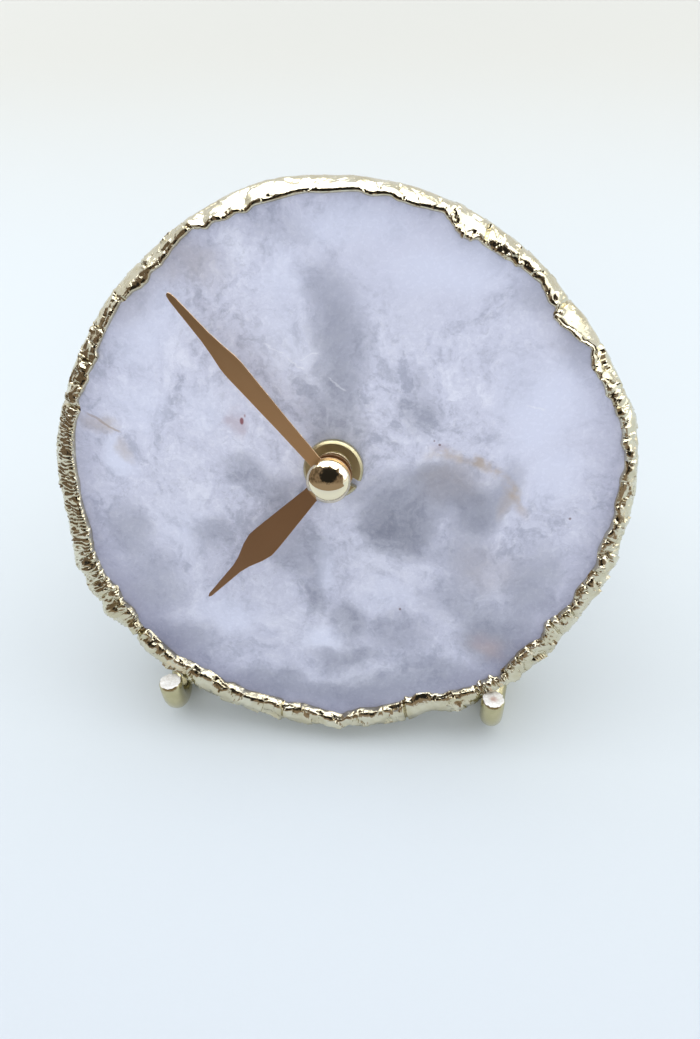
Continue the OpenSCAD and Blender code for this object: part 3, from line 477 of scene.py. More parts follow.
def vein(start, end, width, sway=1.2):
    """A thin line across the face, as a share of its own strength."""
    start, end = Vector(start), Vector(end)
    middle, half = (start + end) / 2, (end - start).length / 2
    away = stone.turned(stone.vector("SUBTRACT", stone.spot, (middle.x, middle.y, 0)),
                        math.degrees(math.atan2(end.y - start.y, end.x - start.x)))
    lengthwise, sideways = (stone.node("SeparateXYZ", {}, away, output=axis) for axis in (0, 1))
    swing = (stone.noise(3, 3) - 0.5) * sway * 2
    near = stone.step(abs(sideways + swing), width * 0.3, width, 1.0, 0.0)
    return near * stone.step(abs(lengthwise), half * 0.6, half, 1.0, 0.0)


scratches = (vein((-13, 22.3), (-8.5, 20.6), 0.2) + vein((-8.5, 20.4), (-5, 17.5), 0.22)
             + vein((-6.4, 19.6), (-2.5, 21.0), 0.18) + vein((34, 13), (37.5, 11.4), 0.2)
             + vein((-1.5, 16.6), (2.5, 14), 0.2))
brown_vein = vein((-46.5, 9.4), (-39.5, 5.2), 0.3, 0.8)
from_centre = stone.vector("DISTANCE", stone.node("CombineXYZ", {}, stone.across, stone.up, 0.0),
                           (slice_dx, slice_dy, 0))
edge_shade = stone.step(from_centre + (milk - 0.5) * 5, 42.5, 51.0)
low_side = stone.step(stone.up, 20.0, -50.0, 0.24, 0.66)

# The colours, each laid over those before it
body = stone.mix(stone.step(mottle, 0.4, 0.51), colour(166, 170, 189), colour(199, 202, 221))
for share, tint in (
        (stone.step(mottle, 0.5, 0.62), (217, 220, 236)),
        (stone.step(fine, 0.52, 0.68) * (0.4 - calm * 0.3), (229, 231, 242)),
        (stone.step(fine, 0.48, 0.32) * (0.36 - calm * 0.28), (152, 156, 172)),
        # Painted shade: the face is made darker and bluer towards the bottom
        (stone.step(stone.up, 14.0, -44.0, 0.0, 0.32), (150, 154, 174)),
        ((pale * (0.4 + milk * 1.1)).least(0.95), (209, 214, 234)),
        (greyness / (greyness + 0.7), (101, 106, 123)),
        ((mushroom * (0.2 + veil * 1.1)).least(0.8), (163, 158, 162)),
        ((ridge * (0.08 + crackle * 0.34)).least(0.45), (219, 222, 236)),
        ((rust * (0.1 + veil * 1.2) + arc * 0.6).least(0.75), (170, 155, 140)),
        (blush, (172, 156, 168)),
        (specks.least(0.85), (126, 56, 62)),
        (dots.least(0.8), (112, 92, 96)),
        ((scratches * veil * 0.8).least(0.45), (232, 234, 242)),
        ((brown_vein * 0.7).least(0.5), (150, 130, 108)),
        (edge_shade * low_side, (118, 120, 146))):
    body = stone.mix(share, body, colour(*tint))
stone.give(Base_Color=body,
           Roughness=stone.step(stone.noise(0.8, 3), 0.3, 0.7, 0.2, 0.3),
           Normal=stone.raised(stone.noise(1.2, 3), 0.004,
                               under=stone.raised(stone.noise(14, 2), 0.05)))
present(quartz, "clock", "stone", stone, "quartz_slab")


# The gilt rim. The stone's broken edge was painted to conduct and plated with a thick,
# uneven crust of pale gold, which ends on the face in a raised bead.
stretches, stretch_cuts = 216, 9
stations = stretches * (stretch_cuts + 1)
face_lift = 0.02
silhouette = (
    (0, 53.1), (14, 53.3), (20, 52.3), (25, 51.8), (35, 51.3), (40, 50.9), (50, 51.2),
    (60, 51.6), (70, 51.9), (80, 52.2), (90, 52.5), (105, 53.2), (120, 52.6), (130, 52.2),
    (150, 52.6), (165, 53.3), (168, 53.6), (176, 54.3), (185, 54.1), (190, 54.0),
    (195, 54.8), (197, 55.4), (201, 56.2), (203, 55.6), (206.5, 56.2), (209, 55.3),
    (212, 56.5), (215, 55.3), (217, 54.3), (223, 55.1), (230, 54.4), (240, 54.2),
    (245, 53.8), (260, 53.4), (270, 53.0), (280, 52.6), (285, 52.3), (290, 51.6),
    (295, 52.9), (297, 53.4), (305, 52.7), (315, 52.8), (325, 52.3), (340, 52.8),
    (350, 52.7), (355, 53.0))
# Each table round the ring gives degrees and values. The first three are the bead's width
# and height, and how the crust falls away outside it: 0 keeps a flat crown first, 1 falls
# at once. Then come the height of the crags, the ribs and the creases, and the bead's lumps.
slope_width = (
    (0, 0.8), (15, 0.7), (26, 0.55), (31, 0.35), (40, 0.4), (45, 0.6), (48, 0.75), (60, 0.75),
    (64, 0.6), (69, 0.55), (75, 0.55), (105, 0.55), (120, 0.55), (132, 0.65), (136, 0.8),
    (140, 0.5), (165, 0.8), (180, 0.9), (215, 1.1), (222, 1.4), (240, 1.5), (270, 1.5),
    (284, 1.4), (289, 1.8), (295, 1.2), (310, 1.1), (335, 1.0), (350, 0.9))
bead_height = (
    (0, 0.95), (15, 0.75), (31, 0.45), (40, 0.5), (45, 0.6), (60, 0.65), (66, 0.85), (72, 0.55),
    (110, 0.55), (135, 0.7), (160, 0.75), (180, 0.95), (200, 1.15), (222, 1.4), (240, 1.5),
    (270, 1.5), (284, 1.35), (290, 0.9), (298, 1.15), (310, 1.25), (340, 1.15))
falls = (
    (0, 0.4), (15, 0.6), (28, 0.85), (31, 1.0), (40, 0.95), (45, 0.8), (48, 0.25), (58, 0.3),
    (62, 0.35), (69, 0.4), (72, 0.95), (150, 1.0), (160, 0.8), (168, 0.45), (180, 0.35),
    (215, 0.1), (222, 0.0), (285, 0.0), (293, 0.2), (300, 0.05), (340, 0.2))
crags = (
    (0, 0.24), (14, 0.28), (24, 0.28), (31, 0.1), (39, 0.12), (46, 0.16), (60, 0.2), (68, 0.22),
    (74, 0.1), (104, 0.1), (112, 0.15), (122, 0.14), (134, 0.14), (145, 0.16), (162, 0.2),
    (168, 0.16), (214, 0.2), (222, 0.2), (240, 0.18), (270, 0.2), (284, 0.2), (287, 0.06),
    (293, 0.08), (297, 0.26), (310, 0.28), (325, 0.28), (345, 0.3))
ribs = (
    (0, 0.0), (163, 0.0), (167, 0.3), (185, 0.42), (205, 0.42), (216, 0.34), (219, 0.0),
    (319, 0.0), (322, 0.14), (326, 0.14), (328, 0.0))
creases = (
    (0, 0.25), (20, 0.1), (30, 0.0), (60, 0.06), (110, 0.06), (140, 0.15), (165, 0.2),
    (190, 0.2), (219, 0.3), (230, 0.5), (280, 0.5), (287, 0.1), (294, 0.3), (340, 0.35))
bead_lumps = (
    (0, 0.3), (30, 0.2), (60, 0.15), (75, 0.06), (104, 0.06), (115, 0.2), (135, 0.15),
    (160, 0.2), (195, 0.35), (218, 0.35), (235, 0.3), (284, 0.3), (290, 0.15), (305, 0.35),
    (345, 0.35))
# Joints of the beaded inner edge: half width in degrees, depth, and the degrees where they are
joint_kinds = (
    (0.3, 0.2, (112.0, 115.5, 127.0, 143.0, 147.5, 151.0, 226.0, 239.0, 246.0, 252.0, 265.0,
        280.0)),
    (0.3, 0.25, (158.0, 233.5, 274.5)),
    (0.3, 0.3, (6.5, 15.5, 20.5, 320.8, 338.0)),
    (0.3, 0.35, (2.0, 312.6, 315.0, 318.4, 330.4, 345.6, 353.0)),
    (0.3, 0.4, (328.2,)),
    (0.35, 0.35, (11.0, 198.5, 200.6, 202.7, 205.0, 207.8, 210.4, 213.2, 216.4)),
    (0.35, 0.4, (310.4, 326.4, 334.2, 341.5, 349.3, 357.2)),
    (0.4, 0.5, (304.3, 307.2)))
joints_round = sorted((where, wide, deep) for wide, deep, places_round in joint_kinds
                      for where in places_round)
# Grooves across the rim: degrees and radius where each starts and ends, width, depth
cracks = (
    (26.5, 49.0, 30.0, 51.8, 0.24, 0.6), (18.0, 49.8, 20.0, 52.4, 0.2, 0.45),
    (40.6, 47.4, 40.2, 51.0, 0.22, 0.5), (155.0, 50.3, 156.0, 53.0, 0.18, 0.45),
    (165.5, 49.6, 165.7, 54.0, 0.34, 1.0), (219.0, 50.8, 219.3, 56.0, 0.34, 1.0),
    (233.0, 51.8, 235.5, 54.0, 0.18, 0.4), (244.0, 51.4, 246.8, 53.6, 0.18, 0.4),
    (256.0, 49.0, 257.0, 55.0, 0.16, 0.45), (263.0, 51.2, 266.0, 53.4, 0.18, 0.4),
    (274.0, 50.8, 277.0, 53.0, 0.18, 0.4), (285.6, 47.2, 284.8, 54.0, 0.24, 0.7),
    (302.6, 49.0, 303.4, 53.0, 0.24, 0.6), (140.0, 50.0, 141.0, 51.6, 0.34, 0.6),
    (132.0, 51.4, 133.4, 52.6, 0.26, 0.6), (148.0, 51.4, 149.0, 52.8, 0.24, 0.6),
    (151.5, 51.2, 152.0, 52.4, 0.22, 0.55), (160.4, 51.4, 161.4, 53.2, 0.24, 0.6),
    (13.0, 50.4, 16.0, 53.0, 0.2, 0.4), (345.0, 49.6, 347.0, 53.0, 0.18, 0.35),
    (332.0, 49.2, 330.0, 52.4, 0.24, 0.5), (326.5, 48.6, 325.0, 52.4, 0.2, 0.45),
    (316.0, 50.2, 314.0, 52.6, 0.2, 0.4), (60.8, 49.0, 61.2, 50.8, 0.3, 0.5),
    (119.5, 50.6, 121.5, 52.4, 0.2, 0.4), (78.2, 50.4, 79.4, 51.4, 0.2, 0.4))
# Drops and bubbles of metal: degrees, radius, their own radius, height
drops = (
    (52.5, 49.0, 0.5, 0.3), (63.4, 47.9, 0.5, 0.35), (65.2, 47.9, 0.55, 0.35),
    (67.0, 48.2, 0.45, 0.3), (201.0, 54.2, 1.5, 0.8), (206.5, 54.2, 1.5, 0.8),
    (212.0, 54.4, 1.6, 0.8), (297.0, 51.8, 1.4, 0.7), (306.0, 50.4, 0.9, 0.6),
    (309.0, 51.0, 0.9, 0.6), (40.0, 48.3, 0.9, 0.3), (42.8, 49.8, 0.9, 0.35),
    (21.0, 51.0, 1.1, 0.4), (16.0, 51.0, 0.8, 0.3), (176.0, 52.8, 1.3, 0.4),
    (223.0, 53.4, 1.6, 0.4), (8.0, 51.8, 0.8, 0.3), (350.0, 51.4, 0.8, 0.3),
    (338.0, 51.0, 0.9, 0.3))

# The section's profiles. A bead's row is its distance out and its height, as shares of the
# bead's width and height; a shoulder's row is its shares of the way out and down. The rows
# of the back and of the channel that holds the stone are shares and heights in millimetres.
flat_bead = ((0, 0), (0.05, 0.2), (0.11, 0.33), (0.19, 0.47), (0.29, 0.62), (0.4, 0.76),
             (0.52, 0.87), (0.66, 0.95), (0.85, 1.0), (1.08, 1.0), (1.35, 0.95), (1.65, 0.87),
             (2.0, 0.76))
steep_bead = ((0, 0), (0.08, 0.3), (0.17, 0.56), (0.28, 0.76), (0.42, 0.9), (0.62, 0.98),
              (0.88, 1.0), (1.15, 0.98), (1.4, 0.88), (1.65, 0.7), (1.95, 0.44), (2.3, 0.12),
              (2.7, -0.28))
flat_shoulder = ((0.12, 0.035), (0.24, 0.08), (0.36, 0.135), (0.47, 0.2), (0.57, 0.275),
                 (0.66, 0.35), (0.74, 0.43), (0.81, 0.52), (0.88, 0.62), (0.94, 0.74),
                 (0.98, 0.87), (1.0, 1.0))
steep_shoulder = ((0.09, 0.05), (0.18, 0.11), (0.28, 0.18), (0.38, 0.25), (0.48, 0.32),
                  (0.58, 0.39), (0.68, 0.47), (0.77, 0.56), (0.85, 0.65), (0.92, 0.76),
                  (0.97, 0.88), (1.0, 1.0))
shoulder_foot = -3.8
back_rows = ((1.0, -4.8), (0.97, -5.8), (0.9, -6.7), (0.78, -7.4), (0.62, -7.9),
             (0.44, -8.2), (0.3, -8.5), (0.18, -8.65), (0.08, -8.5), (0.0, -8.02))
channel_rows = ((0.85, -8.02), (0.85, -4.0), (0.85, 0.0))
view_in_dial = dial.inverted() @ view_place / mm
least_shoulder, most_reach = 1.0, 9.0
bead_count = len(flat_bead)
front_count = bead_count + len(flat_shoulder)
row_count = front_count + len(back_rows) + len(channel_rows)


def between(first, second, share):
    """Rows part of the way from one profile to the other."""
    return [(a + (c - a) * share, b + (d - b) * share)
            for (a, b), (c, d) in zip(first, second)]


def section(angle, edge):
    """The rim's section at an angle: distances out from the stone's edge, and heights."""
    width, height, fall = (along(table, angle) for table in (slope_width, bead_height, falls))
    rows = [(out * width, face_lift + up * height)
            for out, up in between(flat_bead, steep_bead, fall)]
    valley, valley_height = rows[-1]
    shoulder = [(share, valley_height + (shoulder_foot - valley_height) * drop)
                for share, drop in between(flat_shoulder, steep_shoulder, fall)]
    outline = along(silhouette, angle)
    facing = Vector((math.cos(math.radians(angle)), math.sin(math.radians(angle))))
    toward = (view_in_dial.xy - Vector((slice_dx, slice_dy))).dot(facing)
    reach = most_reach
    for share, up in shoulder:
        nearer = view_in_dial.z / (view_in_dial.z - up)
        seen = (outline - (1 - nearer) * toward) / nearer - edge
        reach = min(reach, valley + (seen - valley) / share)
    reach = max(reach, valley + least_shoulder)
    rows += [(valley + share * (reach - valley), up) for share, up in shoulder]
    rows += [(share * reach, up) for share, up in back_rows]
    return rows + list(channel_rows)


facet_kinds = ((3.2, 1.5), (1.5, 1.3))


def facets(point):
    """Height of broken facets, large and small, whose slopes are about 1 in 1."""
    total = 0
    for size, steepness in facet_kinds:
        spread = point / size
        centre = noise.voronoi(spread)[1][0]
        tilt = noise.noise_vector(centre * 3.7)
        total += size * steepness * (tilt.dot(spread - centre) + 0.1 * tilt.x)
    return total + 0.12 * noise.fractal(point * 2.1, 0.8, 2.0, 2)


# A ring of plain round section is spun and cut into stations, and each of its vertices is
# then moved to its row of the real section.
ring_r, ring_wire = 53 * mm, 3 * mm
bpy.ops.mesh.primitive_circle_add(vertices=row_count, radius=ring_wire,
                                  location=(ring_r, 0, 0), rotation=(math.pi / 2, 0, 0))
crust = bpy.context.object
crust.name = "gilt_crust"
bpy.ops.object.transform_apply()
open_mesh("SELECT")
bpy.ops.mesh.spin(steps=stretches, angle=2 * math.pi, center=(0, 0, 0), axis=(0, 0, 1))
bpy.ops.mesh.select_all(action="SELECT")
bpy.ops.mesh.remove_doubles(threshold=0.001 * mm)
bpy.ops.mesh.select_mode(type="EDGE")
bpy.ops.mesh.select_all(action="DESELECT")
close_mesh()


def row_of(vertex):
    """Which row of the ring's section a vertex belongs to."""
    return round(math.atan2(vertex.co.z, vertex.co.xy.length - ring_r)
                 / (2 * math.pi) * row_count) % row_count


for stretch in crust.data.edges:
    first, second = (crust.data.vertices[number] for number in stretch.vertices)
    stretch.select = row_of(first) == row_of(second)
open_mesh()
bpy.ops.mesh.subdivide(number_cuts=stretch_cuts)
bpy.ops.mesh.select_mode(type="VERT")
close_mesh()
outermost = front_count - 1
channel_from = row_count - 4
mm_per_degree = 0.9
crack_end, bead_foot = 0.6, 0.04
places = {}
for station in range(stations):
    angle = station * 360 / stations
    turn = math.radians(angle)
    edge = along(stone_edge, angle)
    rows = section(angle, edge)
    crag, rib, lump, crease = (along(table, angle) for table in (crags, ribs, bead_lumps,
                                                                 creases))
    swelling = lump * noise.noise(Vector((angle * 0.55, 0.4, 8.2)))
    for where, wide, deep in joints_round:
        if abs(angle - where) < 3 * wide:
            swelling -= deep * math.exp(-((angle - where) / wide) ** 2)
    near_cracks = [crack for crack in cracks if abs(angle - (crack[0] + crack[2]) / 2) < 5]
    near_drops = [drop for drop in drops if abs(angle - drop[0]) < 3]
    for row, (out, height) in enumerate(rows):
        before, after = rows[row - 1], rows[(row + 1) % row_count]
        along_x, along_z = after[0] - before[0], after[1] - before[1]
        size = math.hypot(along_x, along_z) or 1
        normal_out, normal_up = -along_z / size, along_x / size
        radius = edge + out
        point = Vector((radius * math.cos(turn), radius * math.sin(turn), height))
        push = 0
        if 0 < row < channel_from:
            ripe = min(1, row / 5, (channel_from - row) / 4)
            if row > front_count - 5:
                ripe *= 0.45
            push = crag * facets(point) * ripe
            if rib:
                beat = (angle * 1.1 + 1.2 * noise.noise(Vector((angle * 0.35, out * 0.5, 0)))
                        + 0.35 * noise.noise(point * 0.9))
                broken = 0.75 + 0.8 * noise.noise(point * 0.8)
                push += rib * (abs(math.sin(math.pi * beat)) ** 0.6 - 0.6) * broken * ripe
            if row < bead_count:
                push += swelling * math.sin(math.pi * row / bead_count)
            elif row < front_count:
                fold = noise.noise(Vector((angle * 0.75 - out * 0.8, out * 0.3, 5.0)))
                push -= crease * (0.35 - min(0.35, abs(fold)))
            if height > -5:
                for start, start_r, end, end_r, wide, deep in near_cracks:
                    if start_r - crack_end < radius < end_r + crack_end:
                        share = min(1, max(0, (radius - start_r) / (end_r - start_r)))
                        aside = (angle - start - share * (end - start)) * mm_per_degree
                        if abs(aside) < 3 * wide:
                            push -= deep * math.exp(-(aside / wide) ** 2)
                for where, where_r, drop_r, drop_h in near_drops:
                    aside = math.hypot((angle - where) * mm_per_degree,
                                       radius - where_r) / drop_r
                    if aside < 1:
                        push += drop_h * math.sqrt(1 - aside * aside)
        radius += push * normal_out
        height += push * normal_up
        if row < bead_count and radius < edge + slice_lap + 0.3:
            height = max(height, bead_foot * min(row, 4))
        places[station, (outermost - row) % row_count] = Vector((
            slice_dx + radius * math.cos(turn), slice_dy + radius * math.sin(turn),
            height)) * mm
for vertex in crust.data.vertices:
    station = round(math.atan2(vertex.co.y, vertex.co.x) / (2 * math.pi) * stations)
    vertex.co = places[station % stations, row_of(vertex)]
crust.data.update()
open_mesh("SELECT")
bpy.ops.mesh.normals_make_consistent(inside=False)
close_mesh()
smooth(seated(crust), 45)

gilding = Finish("gilding", metallic=1.0)
tone = gilding.step(gilding.noise(3.5, 4, 0.6), 0.3, 0.7)
crumple = gilding.noise(1.3, 5, 0.62)
gilding.give(Base_Color=gilding.mix(tone, (0.60, 0.54, 0.37, 1), (0.72, 0.68, 0.53, 1)),
             Roughness=gilding.step(gilding.noise(0.9, 3), 0.35, 0.75, 0.05, 0.15),
             Normal=gilding.raised(crumple, 0.09,
                                   under=gilding.raised(gilding.noise(0.4, 4, 0.6), 0.02)))
present(crust, "clock", "gilding", gilding, "gilt_rim")


# The clamp. The movement's threaded brass bushing comes through the bore, and a round
# slotted nut of turned brass pulls the case and its rubber gasket against the stone.
nut_brass = Finish("turned_brass", metallic=1.0)
from_axis = nut_brass.vector("LENGTH", nut_brass.node("CombineXYZ", {}, nut_brass.across,
                                                      nut_brass.up, 0.0))
tool_marks = (from_axis * 40.0).maths("SINE") * 0.5 + nut_brass.noise(0.25, 2) * 0.5
nut_brass.give(Base_Color=nut_brass.mix(nut_brass.noise(1.5, 3), (0.56, 0.50, 0.29, 1),
                                        (0.68, 0.62, 0.40, 1)),
               Roughness=nut_brass.step(tool_marks, 0.2, 0.8, 0.3, 0.44),
               Normal=nut_brass.raised(tool_marks, 0.006))
present(bevelled("slotted_nut", "round_nut", 0.07), "clock", "nut_brass", nut_brass,
        "slotted_nut")
bush_brass = Finish("bushing_brass", metallic=1.0)
thread_pitch = 0.5
thread = (bush_brass.out * (2 * math.pi / thread_pitch)).maths("SINE") * 0.5 + 0.5
bush_brass.give(Base_Color=bush_brass.mix(bush_brass.noise(0.8), (0.78, 0.66, 0.45, 1),
                                          (0.86, 0.76, 0.56, 1)),
                Roughness=bush_brass.step(bush_brass.noise(0.5), 0.3, 0.7, 0.15, 0.25),
                Normal=bush_brass.raised(thread, 0.15))
dress(bush_brass, "threaded_bushing")
rubber = Finish("gasket_rubber")
rubber.give(Base_Color=rubber.mix(rubber.noise(0.8, 4), (0.018, 0.018, 0.02, 1),
                                  (0.035, 0.035, 0.038, 1)),
            Roughness=rubber.step(rubber.noise(0.5), 0.3, 0.7, 0.6, 0.8),
            Normal=rubber.raised(rubber.noise(0.3, 3), 0.03))
dress(rubber, "rubber_gasket")


# The hands. They are stamped from 0.3 mm aluminium, brushed along their length and
# anodised rose gold; the edges that face up catch the light.
def brushed_rose(name, dark, light, turn):
    """Anodised rose gold, with fine brush lines along a hand that stands at turn degrees."""
    rose = Finish(name, metallic=1.0)
    lines = rose.noise(1.0, 3, 0.7, spot=rose.vector(
        "MULTIPLY", rose.turned(rose.spot, turn), (0.35, 14, 1)))
    rose.give(Base_Color=rose.mix(rose.noise(7, 3), dark, light),
              Roughness=rose.step(lines, 0.3, 0.7, 0.3, 0.4),
              Normal=rose.raised(lines, 0.004, under=rose.raised(rose.noise(0.3), 0.004)))
    return rose


hour_rest, minute_rest = 226.7, 131
for hand, name, dark, light, at_rest in (
        ("hour", "dark_rose", (0.38, 0.24, 0.14, 1), (0.44, 0.28, 0.165, 1), hour_rest),
        ("minute", "light_rose", (0.86, 0.60, 0.35, 1), (0.93, 0.66, 0.40, 1), minute_rest)):
    present(bevelled(hand + "_hand", hand + "_pointer", 0.07), hand, name,
            brushed_rose(name, dark, light, at_rest), hand + "_hand")


# The cap. A cap nut, turned from brass and polished to a mirror, closes the shaft. It is
# a ball up to its widest place, and a lower dome above that.
cap_r, cap_base, cap_waist = 3.9, 6.75, 2.1
dome_r = 4.5
dome_sink = math.sqrt(dome_r ** 2 - cap_r ** 2)
bpy.ops.mesh.primitive_uv_sphere_add(segments=128, ring_count=96, radius=cap_r * mm,
                                     location=(0, 0, (cap_base + cap_waist) * mm))
dome = bpy.context.object
dome.name = "domed_cap"
open_mesh("SELECT")
bpy.ops.mesh.bisect(plane_co=(0, 0, cap_base * mm), plane_no=(0, 0, 1), clear_inner=True,
                    use_fill=True)
close_mesh()
for vertex in dome.data.vertices:
    if vertex.co.z > 0:
        off_axis = min(vertex.co.xy.length / mm, cap_r)
        vertex.co.z = (math.sqrt(dome_r ** 2 - off_axis ** 2) - dome_sink) * mm
modified(dome, "BEVEL", width=0.12 * mm, segments=3, limit_method="ANGLE",
         angle_limit=math.radians(40))
smooth(seated(dome), 50)
cap_gold = Finish("cap_gold", metallic=1.0)
cap_gold.give(Base_Color=cap_gold.mix(cap_gold.noise(3), (0.86, 0.76, 0.52, 1),
                                      (0.90, 0.81, 0.60, 1)),
              Roughness=cap_gold.step(cap_gold.noise(1.2, 3), 0.35, 0.7, 0.03, 0.07))
present(dome, "minute", "pale_brass", cap_gold, "shaft_cap")


# The case. Two shells of black styrene are moulded with a fine spark texture and snap
# together round the movement; the back has the battery bay and the setting knob.
def moulded(name, dark, light, roughness=0.5, grain=0.35):
    """Moulded plastic with a fine spark texture and slow changes of gloss."""
    plastic = Finish(name)
    texture = plastic.noise(grain, 3, 0.6)
    plastic.give(Base_Color=plastic.mix(plastic.noise(6, 3), dark, light),
                 Roughness=plastic.step(texture, 0.3, 0.7, roughness - 0.08, roughness + 0.1),
                 Normal=plastic.raised(texture, 0.02))
    return plastic


black_case = moulded("black_styrene", (0.022, 0.022, 0.024, 1), (0.034, 0.034, 0.037, 1))
for half in ("front", "rear"):
    present(bevelled(half + "_case", half + "_shell", 0.25), "clock", "black_case", black_case,
            half + "_case")
knob_black = moulded("knob_black", (0.04, 0.04, 0.043, 1), (0.055, 0.055, 0.058, 1), 0.42)
present(bevelled("setting_knob", "knob", 0.12), "setting", "knob_black", knob_black,
        "setting_knob")


# The cell. A plain sleeved AA cell, held between two nickelled spring leaves.
sleeve = Finish("cell_sleeve", Coat_Weight=0.5, Coat_Roughness=0.1)
copper_end = sleeve.step(sleeve.across, 13.0, 13.2)
sleeve.give(Base_Color=sleeve.mix(copper_end, (0.03, 0.09, 0.19, 1), (0.55, 0.36, 0.12, 1)),
            Metallic=0.6, Roughness=sleeve.step(sleeve.noise(2, 3), 0.3, 0.7, 0.25, 0.36),
            Normal=sleeve.raised(sleeve.noise(6), 0.03))
present(bevelled("battery", "sleeved_cell", 0.3, 3), "cell", "cell_wrap", sleeve, "battery")


def metal(name, dark, light, low, high, grain=0.8):
    """Plain sheet or cast metal with a slow change of tone and a fine grain."""
    plain = Finish(name, metallic=1.0)
    plain.give(Base_Color=plain.mix(plain.noise(3, 3), dark, light),
               Roughness=plain.step(plain.noise(grain, 3), 0.3, 0.7, low, high),
               Normal=plain.raised(plain.noise(grain / 2, 3), 0.006))
    return plain


nickel = metal("contact_steel", (0.55, 0.54, 0.52, 1), (0.7, 0.69, 0.67, 1), 0.2, 0.32)
dress(nickel, "positive_contact", "negative_contact")


# The train. Its wheels and their plate are moulded in white nylon; the stepping motor has
# a laminated stator, a copper winding on a bobbin and a sintered magnet on the rotor.
nylon = moulded("white_nylon", (0.68, 0.66, 0.58, 1), (0.78, 0.76, 0.69, 1), 0.42, 0.5)
nylon.give(Subsurface_Weight=0.1, Subsurface_Scale=0.0005)
dress(nylon, "hour_wheel", "minute_wheel", "train_plate", "centre_wheel", "third_wheel",
      "seconds_wheel", "fifth_wheel", "coil_bobbin")
dress(metal("pinion_brass", (0.62, 0.5, 0.25, 1), (0.75, 0.62, 0.35, 1), 0.18, 0.3),
      "cannon_pinion")
dress(metal("rotor_magnet", (0.16, 0.16, 0.17, 1), (0.24, 0.24, 0.25, 1), 0.4, 0.55), "rotor")
dress(metal("silicon_steel", (0.36, 0.37, 0.38, 1), (0.5, 0.5, 0.51, 1), 0.3, 0.45),
      "stator", "coil_core")
copper = Finish("copper_wire", metallic=1.0)
wire_pitch = 0.22
# The turns of wire: the copper is painted darker between them as painted shade in the grooves, and
# the same pattern gives the turns their relief
turns_and_groove_shade = (copper.across * (2 * math.pi / wire_pitch)).maths("SINE") * 0.5 + 0.5
copper.give(Base_Color=copper.mix(turns_and_groove_shade, (0.45, 0.16, 0.06, 1), (0.83, 0.38, 0.18, 1)),
            Roughness=copper.step(copper.noise(0.5), 0.3, 0.7, 0.2, 0.35),
            Normal=copper.raised(turns_and_groove_shade, 0.08))
dress(copper, "coil_winding")
board = Finish("green_board", Coat_Weight=0.4)
tracks = board.step(board.cells(1.3, "DISTANCE_TO_EDGE"), 0.04, 0.06)
board.give(Base_Color=board.mix(tracks, (0.02, 0.16, 0.07, 1), (0.012, 0.09, 0.045, 1)),
           Roughness=board.step(board.noise(0.6), 0.3, 0.7, 0.3, 0.45),
           Normal=board.raised(tracks, 0.03))
dress(board, "circuit_board")
dress(metal("crystal_can", (0.6, 0.6, 0.62, 1), (0.74, 0.74, 0.75, 1), 0.15, 0.25),
      "quartz_crystal")
dress(moulded("black_resin", (0.01, 0.01, 0.011, 1), (0.02, 0.02, 0.021, 1), 0.3, 1.2),
      "chip_blob")


# The studio. A wide pale table, soft boxes above, at the sides and in front, and two sheets
# that only the metal mirrors: a bright one overhead and a dark one round the camera.
table_size = 6.0
bpy.ops.mesh.primitive_plane_add(size=table_size)
table = bpy.context.object
table.name = "table"
open_mesh("SELECT")
bpy.ops.mesh.subdivide(number_cuts=3)
close_mesh()
cloth = Finish("table_top")
# The cloth's colour, with painted shade that makes it darker and bluer in front of the clock; it
# turns warmer towards the back
back_of_table = cloth.node("SeparateXYZ", {}, cloth.place, output=1)
top_and_shade = cloth.mix(cloth.step(back_of_table, -0.22, 0.02), colour(205, 213, 224),
                colour(225, 233, 238))
top_and_shade = cloth.mix(cloth.step(back_of_table, 0.1, 0.42), top_and_shade, colour(224, 225, 220))
# Painted glow: far from the clock the table gives off light of its own, so it fades into the
# bright room
far_glow = cloth.step(cloth.vector("LENGTH", cloth.place), 0.35, 1.4)
cloth.give(Base_Color=top_and_shade, Roughness=0.9, Specular_IOR_Level=0.1,
           Emission_Color=cloth.mix(far_glow, (0, 0, 0, 1), (0.42, 0.43, 0.42, 1)),
           Emission_Strength=1.0,
           Normal=cloth.raised(cloth.noise(0.5, 2), 0.02))
table.data.materials.append(cloth.material)


def soft_box(name, place, width, height, glow, tint=(1, 1, 1), mirrored=False):
    """A rectangular lamp aimed at the clock; glow is the light it shows, where 1 is white."""
    data = bpy.data.lights.new(name, "AREA")
    data.shape = "RECTANGLE"
    data.size, data.size_y = width, height
    data.energy = glow * math.pi * width * height
    data.color = tint
    lamp = bpy.data.objects.new(name, data)
    scene.collection.objects.link(lamp)
    lamp.location = place
    clock_middle = Vector((0, 0, 0.05))
    lamp.rotation_euler = (clock_middle - Vector(place)).to_track_quat("-Z", "Y").to_euler()
    lamp.visible_camera = False
    lamp.visible_glossy = mirrored


soft_box("overhead", (0, 0.25, 1.0), 1.5, 1.1, 1.15)
soft_box("left_window", (-0.9, 0.1, 0.5), 0.7, 0.8, 1.2, (0.96, 0.98, 1.0))
soft_box("right_window", (0.9, 0.1, 0.5), 0.7, 0.8, 1.2, (0.98, 0.99, 1.0), mirrored=True)
soft_box("front_fill", (0, -1.2, 0.5), 1.6, 0.9, 1.3)


def reflector(name, finish):
    """A piece of the studio that only shows in the metal's reflections."""
    sheet = bpy.context.object
    sheet.name = name
    sheet.data.transform(sheet.matrix_world)
    sheet.matrix_world = Matrix.Identity(4)
    sheet.data.materials.append(finish.material)
    sheet.visible_camera = sheet.visible_diffuse = False
    sheet.visible_shadow = sheet.visible_transmission = False


